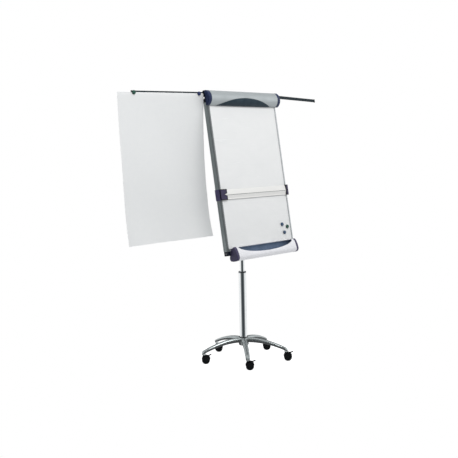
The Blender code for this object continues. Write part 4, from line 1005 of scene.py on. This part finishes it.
def corner_plug(name, side):
    """Upper corner plug with the arm's hinge boss and pin."""
    top = PROFILE_TOP + 0.0245
    bm = mirrored_box(side, (INNER_HALF, -0.0015, PROFILE_TOP + GAP), (HALF_WIDTH, PROFILE_BACK, top))
    plug = mesh_object(f"corner_plug_{name}", bm, TILT)
    centre = (side * ARM_HINGE.x, ARM_HINGE.y, 0)
    boss = rod(KNUCKLE_RADIUS - 0.0002, PROFILE_TOP + 0.0006, top - 0.0003, 48, "Z", centre)
    add(plug, boss, TILT)
    add(plug, rod(0.0035, top - 0.006, 1.080, 32, "Z", centre), TILT)
    dress(plug, "board", "navy_dark", [f"corner_top_{name}"], edge=0.0009)


def corners():
    for name, side in SIDES:
        corner_block(name, side)
        corner_plug(name, side)


# ---------------------------------------------------------------- clamp
def clamp_eye():
    """The clamp's round back about its hinge."""
    return arc(CLAMP_HINGE, CLAMP_EYE, 112.5, 60.0, 10)


def clamp_front(steps):
    """The clamp's bowed front, from its lower lip to the eye."""
    return bulged_arc((-0.0070, CLAMP_FOOT[1]), clamp_eye()[0], 0.0310, steps)


def clamp_bar():
    """Extruded clamp: a bowed shell with a neck and bead that turn in the top rail's socket."""
    front = clamp_front(56)
    inner_radius = CLAMP_EYE - CLAMP_WALL
    neck, half_neck, bead = 95.0, 0.0010, 0.0030
    spread_out = degrees(half_neck / inner_radius)
    spread_in = degrees(asin(half_neck / bead))
    hook = arc(CLAMP_HINGE, inner_radius, 60.0, neck - spread_out, 6)
    hook += arc(CLAMP_HINGE, bead, neck - spread_in, neck + spread_in - 360.0, 28)
    hook += arc(CLAMP_HINGE, inner_radius, neck + spread_out, 110.0, 2)
    lining = offset_outline(front, -CLAMP_WALL)
    lining[0] = (CLAMP_FOOT[0], CLAMP_FOOT[1] + CLAMP_WALL)
    outline = [CLAMP_FOOT] + front + clamp_eye()[1:] + hook + lining[-2::-1]
    bar = prism(outline, -CLAMP_HALF + GAP, CLAMP_HALF - GAP)
    nodes = ["clamp_bar"]
    piece("clamp_extrusion", bar, TILT, "clamp", "clamp", nodes, edge=0.0003, angle=50.0)


def inlay_grid(height):
    """Points of the lens-shaped inlay at a height over the clamp's front, row by row from its lower edge."""
    front = clamp_front(120)
    rows, columns, half_width = 40, 49, 0.278
    start, span, narrowing = 0.004, 0.52, 1.15
    grid = []
    for i in range(rows + 1):
        share = start + span * 0.998 * i / rows
        reach = half_width * sqrt(max(0.0, 1 - ((share - start) / span) ** narrowing))
        point, normal = at(front, share)
        y, z = point + normal * height
        grid.append([(reach * (2 * k / (columns - 1) - 1), y, z) for k in range(columns)])
    return grid


def clamp_panel():
    """Dark inlay standing slightly off the clamp's lower front."""
    bm = shell(inlay_grid(0.0003), inlay_grid(0.0016))
    piece("clamp_inlay", bm, TILT, "clamp", "inlay", ["clamp_panel"], edge=0.0005, angle=45.0)


def clamp_section(front, hub, grow):
    """The end cap's section, grown outwards all round."""
    foot = CLAMP_FOOT[1] - 0.0004 - min(0.0, grow)
    back = CLAMP_FOOT[0] + min(0.0, grow)
    share = min(1.0, 1 + grow / CLAMP_EYE)
    rim = [tuple(CLAMP_HINGE[i] + (p[i] - CLAMP_HINGE[i]) * share for i in (0, 1)) for p in hub]
    bowed = [(y, max(z, foot)) for y, z in offset_outline(front, grow)]
    return [(back, foot)] + bowed + rim + [(back, 1.0580)]


def clamp_caps():
    """End caps with a rounded outer rim and a thin bead where they meet the bar."""
    front = clamp_front(40)
    hub = arc(CLAMP_HINGE, CLAMP_EYE, 105.0, 0.0, 14)
    spans = [(0.0, 0.0002), (0.0012, 0.0004), (0.0020, -0.0004), (0.0028, -0.0004), (0.0036, 0.0004)]
    spans += [(0.0260, 0.0004), (0.0278, 0.0000), (0.0290, -0.0010), (0.0297, -0.0024), (0.0300, -0.0042)]
    for name, side in SIDES:
        bm = cap(lambda grow: clamp_section(front, hub, grow), spans, side, CLAMP_HALF)
        nodes = [f"clamp_cap_{name}"]
        piece(f"clamp_end_{name}", bm, TILT, "clamp", "navy", nodes, edge=0.0, angle=38.0)
        place = TILT @ shift((side * (CLAMP_HALF + 0.0299), -0.0170, 1.018)) @ spin(side * pi / 2, "Y")
        screw(f"clamp_screw_{name}", place, "clamp", 0.0034, 0.0001)


def pad_hook(name, x):
    """Sliding hook behind the clamp: a ribbed grip and a tongue that turns down in front."""
    hook = mesh_object(f"hook_{name}", box((x - 0.013, 0.0083, 1.0503), (x + 0.013, 0.0165, 1.0837)), TILT)
    tongue = [(0.0100, 1.0535), (0.0100, 1.0580), (-0.0038, 1.0580), (-0.0038, 1.0115)]
    tongue += [(-0.0150, 1.0135), (-0.0155, 1.0090), (-0.0015, 1.0060), (-0.0015, 1.0535)]
    add(hook, prism(tongue, x - 0.004, x + 0.004), TILT)
    for k in range(5):
        z = 1.058 + 0.0048 * k
        cut(hook, box((x - 0.010, 0.0158, z), (x + 0.010, 0.0180, z + 0.0018)), TILT)
    dress(hook, f"hook_{name}", "bronze", [f"pad_hook_{name}"], edge=0.0020)


def top_rail():
    """Extruded rail on the board's upper edge with a C-shaped socket, and the pad hooks in its slots."""
    front, inner, outer = 0.0019, 0.0034, 0.0056
    outline = [(front, 0.9903), (front, 1.0600)]
    outline += arc(CLAMP_HINGE, outer, -50.0, -235.0, 24) + arc(CLAMP_HINGE, inner, -235.0, 38.0, 30)
    outline += arc(CLAMP_HINGE, outer, 38.0, 10.0, 4)
    outline += [(0.0060, 1.0690), (0.0060, 1.0500), (0.0170, 1.0500), (0.0170, 0.9903)]
    rail = mesh_object("clamp_rail", prism(outline, -0.335, 0.335), TILT)
    for side in (-1, 1):
        cut(rail, mirrored_box(side, (0.19, front - 0.004, 1.0525), (0.31, 0.010, 1.0590)), TILT)
    dress(rail, "board", "rail", ["top_rail"], edge=0.0003, angle=45.0)
    for name, x in (("left", -0.255), ("right", 0.245)):
        pad_hook(name, x)


# ---------------------------------------------------------------- tray
TRAY_SECTION = [(-0.0290, 0.0105), (-0.0125, 0.0020), (-0.0030, -0.0130), (0.0055, -0.0370)]
TRAY_SECTION += [(0.0125, -0.0600), (0.0080, -0.0765), (-0.0080, -0.0825), (-0.0330, -0.0830)]
TRAY_SECTION += [(-0.0510, -0.0775), (-0.0600, -0.0610), (-0.0580, -0.0380), (-0.0510, -0.0130)]
TRAY_SECTION += [(-0.0420, 0.0050), (-0.0340, 0.0115)]


def tray_loop(distance):
    """The tray's egg-shaped section as a smooth curve, moved inwards by a distance."""
    return smooth_loop(offset_loop(TRAY_SECTION, -distance), 8)


def tray_shell(section, half):
    """The shell, scooped open at its upper front."""
    body = mesh_object("tray_body", pipe(section, tray_loop(0.0022), -half, half), TILT)
    reach, sag, level = 0.285, 0.052, 0.0125
    angles = [pi * (1 + k / 96) for k in range(97)]
    scoop = [(reach * cos(a), level + sag * sin(a)) for a in angles] + [(reach, 0.03), (-reach, 0.03)]
    cut(body, sideways(prism(scoop, -0.09, -0.0310)), TILT)
    dress(body, "board", "tray", ["tray_shell"], edge=0.0005, angle=50.0)


def tray():
    """Pen tray: its shell, the liner inside it and two end caps."""
    section, half = smooth_loop(TRAY_SECTION, 8), TRAY_HALF - GAP
    tray_shell(section, half)
    stop = next(k for k, p in enumerate(section) if p[0] < -0.05 and p[1] > -0.044)
    trough = tray_loop(0.0025)[4:stop]
    bm = prism(trough + offset_outline(trough, -0.0015)[::-1], -half, half)
    piece("tray_lining", bm, TILT, "board", "liner", ["tray_liner"], edge=0.0004, angle=50.0)
    spans = [(0.0, 0.0005), (0.0010, 0.0008), (0.0018, 0.0000), (0.0026, 0.0000), (0.0034, 0.0008)]
    spans += [(0.0180, 0.0008), (0.0200, 0.0003), (0.0212, -0.0009), (0.0218, -0.0024), (0.0220, -0.0042)]
    for name, side in SIDES:
        bm = cap(lambda grow: offset_loop(section, grow), spans, side, TRAY_HALF)
        nodes = [f"tray_cap_{name}"]
        piece(f"tray_end_{name}", bm, TILT, "board", "tray_cap", nodes, edge=0.0, angle=38.0)


# ---------------------------------------------------------------- ruler
SLIDER_MIDDLE = (SLIDER_LOW + SLIDER_HIGH) / 2
SLIDER_NOTCH = (SLIDER_HIGH - SLIDER_LOW) * 0.11
SLIDER_OUTER = HALF_WIDTH + 0.0006
CHEEK_OUTER = SLIDER_OUTER + 0.0035


def ruler_blade():
    """Stepped white bar with a groove along it, painted dark inside as shade, and a pointer at its left end.
    """
    low, high = RULER_LOW, RULER_HIGH
    section = [(-0.0032, low), (-0.0070, low), (-0.0078, low + 0.0016), (-0.0078, low + 0.0042)]
    section += [(-0.0062, low + 0.0068), (-0.0064, low + 0.0085), (-0.0120, 0.3645), (-0.0122, 0.3652)]
    section += [(-0.0086, 0.3656), (-0.0086, 0.3682), (-0.0114, 0.3688), (-0.0060, high - 0.0020)]
    section += [(-0.0050, high), (-0.0032, high)]
    blade = mesh_object("ruler_blade", prism(section, -0.2900, 0.3290), TILT)
    spread = SLIDER_NOTCH * 0.9
    pointer = [(-0.2890, SLIDER_MIDDLE - spread), (-0.3135, SLIDER_MIDDLE), (-0.2890, SLIDER_MIDDLE + spread)]
    add(blade, sideways(prism(pointer, -0.0105, -0.0034)), TILT)
    dress(blade, "ruler", "white", ["ruler_bar"], edge=0.0003)

    def in_shaded_groove(face):
        y, z = in_board(face.center).yz
        return -0.0100 < y < -0.0070 and RULER_SHADED_GROOVE[0] < z < RULER_SHADED_GROOVE[1]

    # Painted shade: the faces inside the groove get the dark grey, as the shade that falls in it.
    paint(blade, "painted_shade_grey", in_shaded_groove)


def slider_outline(side, near, far, depth, low, high):
    """A slider's face from x near to x far, with a V notch of a depth in its near edge."""
    mouth = [(near, SLIDER_MIDDLE - SLIDER_NOTCH), (near + depth, SLIDER_MIDDLE)]
    mouth += [(near, SLIDER_MIDDLE + SLIDER_NOTCH)]
    outline = [(far, low), (near, low), *mouth, (near, high), (far, high)]
    return [(side * x, z) for x, z in outline]


def ruler_slider(name, side, near, depth):
    """Slider with a dark rim, a lighter face plate set into it, and a grooved cheek on the profile."""
    low, high, inset = SLIDER_LOW, SLIDER_HIGH, 0.0055
    outline = slider_outline(side, near, CHEEK_OUTER, depth, low, high)
    rim = mesh_object(f"slider_rim_{name}", sideways(prism(outline, -0.0135, -0.0027)), TILT)
    dress(rim, "ruler", "slider_rim", [f"ruler_slider_{name}"], edge=0.0010)
    outline = slider_outline(side, near + inset, SLIDER_OUTER + 0.0032, depth, low + inset, high - inset)
    bm = sideways(prism(outline, -0.0140, -0.0130))
    piece(f"slider_panel_{name}", bm, TILT, "ruler", "slider_face", edge=0.0004)
    wall = mirrored_box(side, (SLIDER_OUTER, -0.0120, low), (CHEEK_OUTER, 0.0390, high))
    cheek = mesh_object(f"slider_cheek_{name}", wall, TILT)
    for k in range(4):
        z = low + 0.022 + k * 0.010
        groove = (SLIDER_OUTER + 0.0030, 0.0060, z), (SLIDER_OUTER + 0.0050, 0.0330, z + 0.0030)
        cut(cheek, mirrored_box(side, *groove), TILT)
    dress(cheek, "ruler", "purple", edge=0.0010)


def ruler():
    ruler_blade()
    ruler_slider("left", -1, 0.2905, 0.026)
    ruler_slider("right", 1, 0.3295, 0.008)


# ---------------------------------------------------------------- magnets
def knurl(angle):
    """Share of a magnet's radius at an angle: thirty-two fine notches."""
    return 1 - 0.012 * (0.5 + 0.5 * cos(32 * angle))


def magnet(number, node, look, place):
    """Round magnet: a knurled skirt, a ring groove and a dished top. It looks along the frame's -Y."""
    r, t = MAGNET_RADIUS, MAGNET_THICKNESS
    profile = [(0, 0), (r - 0.0008, 0), (r, 0.0010), (r, t * 0.50), (r - 0.0006, t * 0.78)]
    profile += [(r - 0.0018, t - 0.0002), (r - 0.0028, t + 0.0004), (r - 0.0036, t + 0.0002)]
    profile += [(r - 0.0040, t - 0.0006), (r - 0.0048, t - 0.0004), (r * 0.45, t + 0.0002)]
    profile += [(r * 0.20, t + 0.0005), (0, t + 0.0006)]
    bm = moved(turned(profile, 96, ripple=knurl), spin(pi / 2, "X"))
    name, body = f"magnet_disc_{number}", f"magnet_{number}"
    piece(name, bm, place, body, look, [node], edge=0.0, angle=40.0)


def board_magnets():
    """Three loose magnets in the lower right corner of the writing face."""
    magnet(1, "magnet_board_1", "magnet_blue", TILT @ shift((0.246, GAP, 0.125)))
    magnet(2, "magnet_board_2", "magnet_green", TILT @ shift((0.301, GAP, 0.105)))
    magnet(3, "magnet_board_3", "magnet_blue", TILT @ shift((0.261, GAP, 0.066)))


# ---------------------------------------------------------------- arms and sheet
ARM_HALF_THICKNESS = 0.003
ARM_HALF_HEIGHT = 0.011
KNUCKLE_BORE = 0.0038


def arm_frame(name, side):
    """Matrix from the arm's build coordinates, with the hinge in place, to the row frame."""
    hinge = Vector((side * ARM_HINGE.x, ARM_HINGE.y, ARM_HINGE.z))
    return TILT @ shift(hinge) @ spin(side * ARM_SWEEP[name], "Z") @ shift(-hinge)


def swing_arm(name, side, place):
    """Flat steel arm in a slotted knuckle, with an end plug and a screw at each end of the knuckle."""
    body = f"{name}_arm"
    x, y, z = side * ARM_HINGE.x, ARM_HINGE.y, ARM_HINGE.z
    thin, tall = ARM_HALF_THICKNESS, ARM_HALF_HEIGHT
    profile = [(KNUCKLE_BORE, 1.039), (0.0100, 1.039), (0.0111, 1.0394), (KNUCKLE_RADIUS, 1.0405)]
    profile += [(KNUCKLE_RADIUS, 1.0795), (0.0111, 1.0806), (0.0100, 1.081), (KNUCKLE_BORE, 1.081)]
    knuckle = mesh_object(f"knuckle_{name}", turned(profile, 56, centre=(x, y, 0)), place)
    root, tip = ARM_HINGE.x + 0.0053, ARM_HINGE.x + ARM_LENGTH
    low, high = (root - GAP, y - thin - GAP, z - tall - GAP), (tip, y + thin + GAP, z + tall + GAP)
    cut(knuckle, mirrored_box(side, low, high), place)
    dress(knuckle, body, "navy_dark", [f"arm_knuckle_{name}"], edge=0.0004)
    bar = mirrored_box(side, (root, y - thin, z - tall), (tip, y + thin, z + tall))
    piece(f"swing_bar_{name}", bar, place, body, "arm", [f"arm_{name}"], edge=0.0010)
    plug = mirrored_box(side, (tip + GAP, y - thin, z - 0.0125), (tip + 0.010, y + 0.005, z + 0.0125))
    piece(f"swing_plug_{name}", plug, place, body, "black", [f"arm_plug_{name}"], edge=0.0018)
    for k, dz in enumerate((-0.0145, 0.0145)):
        spot = place @ shift((x, y + KNUCKLE_RADIUS - 0.0006, z + dz)) @ BACKWARDS
        screw(f"knuckle_screw_{name}_{k}", spot, body, 0.0024, 0.0010)


def sheet_point(out, down):
    """A point of the sheet at a share of its width and a length down from its upper edge."""
    face = ARM_HINGE.y - ARM_HALF_THICKNESS - GAP
    top, edge = ARM_HINGE.z + 0.001, ARM_HINGE.z - ARM_HALF_HEIGHT
    x = -ARM_HINGE.x - 0.0125 - SHEET_WIDTH * out
    if down < top - edge:
        return Vector((x, face, top - down))
    hang = SHEET_HUNG_LENGTH - (top - edge)
    share = (down - (top - edge)) / hang
    turn = min(1.0, share / 0.7) * pi
    foot = max(0.0, share / 0.4 - 1.5) ** 2.2
    outer = 0.026 * sin(turn / 2) ** 2 + 0.030 * foot
    inner = -0.016 * sin(turn) + 0.053 * foot
    sway = sin(out * pi * 2.3 + 0.6) * 0.0016 + sin(out * 9.0 + share * 5.0) * 0.0009
    forward = outer * out + inner * (1 - out) + sway * smoothstep(share * 3.0) * (1.0 + share)
    drop = hang * share
    y = face + drop * sin(LEAN) - forward * cos(LEAN)
    z = edge - drop * cos(LEAN) - forward * sin(LEAN)
    return Vector((x, y, z))


def sheet_front(line):
    """A line of points down the sheet's back, moved by its thickness to its front."""
    out = []
    for k, point in enumerate(line):
        way = (line[min(len(line) - 1, k + 1)] - line[max(0, k - 1)]).normalized()
        out.append(point - Vector((0, -way.z, way.y)).normalized() * SHEET_THICKNESS)
    return out


def paper_sheet(place):
    """The loose sheet: flat on the arm, then hanging with a slight sway, its foot curling forwards."""
    across, along = 56, 84
    drops = [SHEET_HUNG_LENGTH * (k / along) for k in range(along + 1)]
    near = [[sheet_point(i / across, down) for down in drops] for i in range(across + 1)]
    bm = shell(near, [sheet_front(line) for line in near])
    nodes = ["paper_sheet"]
    sheet = piece("flipchart_sheet", bm, place, "left_arm", "paper", nodes, edge=0.0, angle=60.0)


def arms():
    """Both arms, the sheet on the left one and the two magnets that hold it."""
    left = arm_frame("left", -1)
    swing_arm("left", -1, left)
    swing_arm("right", 1, arm_frame("right", 1))
    paper_sheet(left)
    y = ARM_HINGE.y - ARM_HALF_THICKNESS - GAP - 2 * SHEET_THICKNESS - GAP
    for number, look, out in ((1, "magnet_ink", 0.053), (2, "magnet_green", 0.586)):
        place = left @ shift((-ARM_HINGE.x - out, y, ARM_HINGE.z - 0.0010))
        magnet(number + 3, f"magnet_arm_{number}", look, place)


# ---------------------------------------------------------------- stage
def floor():
    """Round white floor under the base; past its rim the white backdrop goes on, so no edge shows."""
    profile = [(0, -0.010), (0.596, -0.010), (0.600, -0.006), (0.600, -0.001), (0.599, 0), (0, 0)]
    obj = mesh_object("floor", turned(profile, 128), AT_COLUMN)
    obj.data.materials.append(floor_finish("studio_floor"))


def dark_patches(tree, direction):
    """How far a direction lies in the dark patch behind the camera, or in the fainter one opposite it."""
    toward = tree.nodes.new("ShaderNodeVectorMath")
    toward.operation = "DOT_PRODUCT"
    connect(tree, direction, toward.inputs[0])
    toward.inputs[1].default_value = (-0.727, -0.686, -0.05)
    darker = tree.nodes.new("ShaderNodeMath")
    darker.operation = "MAXIMUM"
    for slot, (start, end, depth) in enumerate(((0.05, 0.95, 1.0), (-0.70, -0.97, 0.8))):
        limits = {"From_Min": start, "From_Max": end, "To_Min": 0.0, "To_Max": depth}
        patch = add_node(tree, "ShaderNodeMapRange", Value=toward.outputs["Value"], **limits)
        patch.interpolation_type = "SMOOTHSTEP"
        connect(tree, patch.outputs["Result"], darker.inputs[slot])
    return darker.outputs["Value"]


def room_brightness(tree, direction):
    """Brightness of the room over height; the curve's own last point lights only what is straight above."""
    split = add_node(tree, "ShaderNodeSeparateXYZ", Vector=direction)
    upward = add_node(tree, "ShaderNodeMapRange", Value=split.outputs["Z"], From_Min=-1.0)
    height = add_node(tree, "ShaderNodeFloatCurve", Value=upward.outputs["Result"])
    curve = height.mapping.curves[0]
    curve.points[0].location = (0.0, 0.80)
    for place, level in ((0.55, 1.04), (0.75, 0.92), (0.9999, 0.50)):
        curve.points.new(place, level)
    height.mapping.update()
    return height.outputs["Value"]


def world():
    """White backdrop for the camera, and a studio with two dark patches for everything else."""
    made = bpy.data.worlds.new("studio")
    bpy.context.scene.world = made
    made.use_nodes = True
    tree = made.node_tree
    tree.nodes.clear()
    direction = tree.nodes.new("ShaderNodeTexCoord").outputs["Generated"]
    colour = mix_colours(tree, dark_patches(tree, direction), (0.98, 0.99, 1.0), (0.05, 0.06, 0.065))
    brightness = room_brightness(tree, direction)
    room = add_node(tree, "ShaderNodeBackground", Color=colour, Strength=brightness)
    white = add_node(tree, "ShaderNodeBackground", Color=(1.0, 1.0, 1.0), Strength=1.0)
    path = tree.nodes.new("ShaderNodeLightPath")
    mixed = add_node(tree, "ShaderNodeMixShader", Fac=path.outputs["Is Camera Ray"])
    connect(tree, room.outputs[0], mixed.inputs[1])
    connect(tree, white.outputs[0], mixed.inputs[2])
    add_node(tree, "ShaderNodeOutputWorld", Surface=mixed.outputs[0])


def lamp(name, place, aim, size, power):
    """Soft square area light."""
    data = bpy.data.lights.new(name, "AREA")
    data.shape = "SQUARE"
    data.size = size
    data.energy = power
    obj = bpy.data.objects.new(name, data)
    obj.location = place
    obj.rotation_euler = (Vector(aim) - Vector(place)).to_track_quat("-Z", "Y").to_euler()
    bpy.context.scene.collection.objects.link(obj)


def lights():
    lamp("key", (-1.2, -3.4, 4.6), (0.0, 0.0, 1.1), 2.2, 118.0)
    lamp("fill", (3.4, -2.2, 2.6), (0.0, 0.0, 1.0), 2.6, 16.0)
    lamp("overhead", (0.2, 0.3, 4.8), (0.0, 0.0, 0.0), 3.0, 26.0)


def camera():
    """The photograph's view: from the front left, slightly down and slightly rolled."""
    data = bpy.data.cameras.new("view")
    data.sensor_width = 36.0
    data.lens = CAMERA_LENS
    obj = bpy.data.objects.new("view", data)
    turn = spin(-CAMERA_AZIMUTH, "Z") @ spin(pi / 2 - CAMERA_PITCH, "X") @ spin(CAMERA_ROLL, "Z")
    obj.matrix_world = shift(CAMERA_PLACE) @ turn
    bpy.context.scene.collection.objects.link(obj)
    bpy.context.scene.camera = obj


bpy.context.scene.view_settings.view_transform = "Standard"
star_base()
hub_parts()
castors()
column()
tilt_head()
tilt_yoke()
tilt_pin()
tilt_knob()
board()
corners()
clamp_bar()
clamp_panel()
clamp_caps()
top_rail()
tray()
ruler()
board_magnets()
arms()
floor()
world()
lights()
camera()
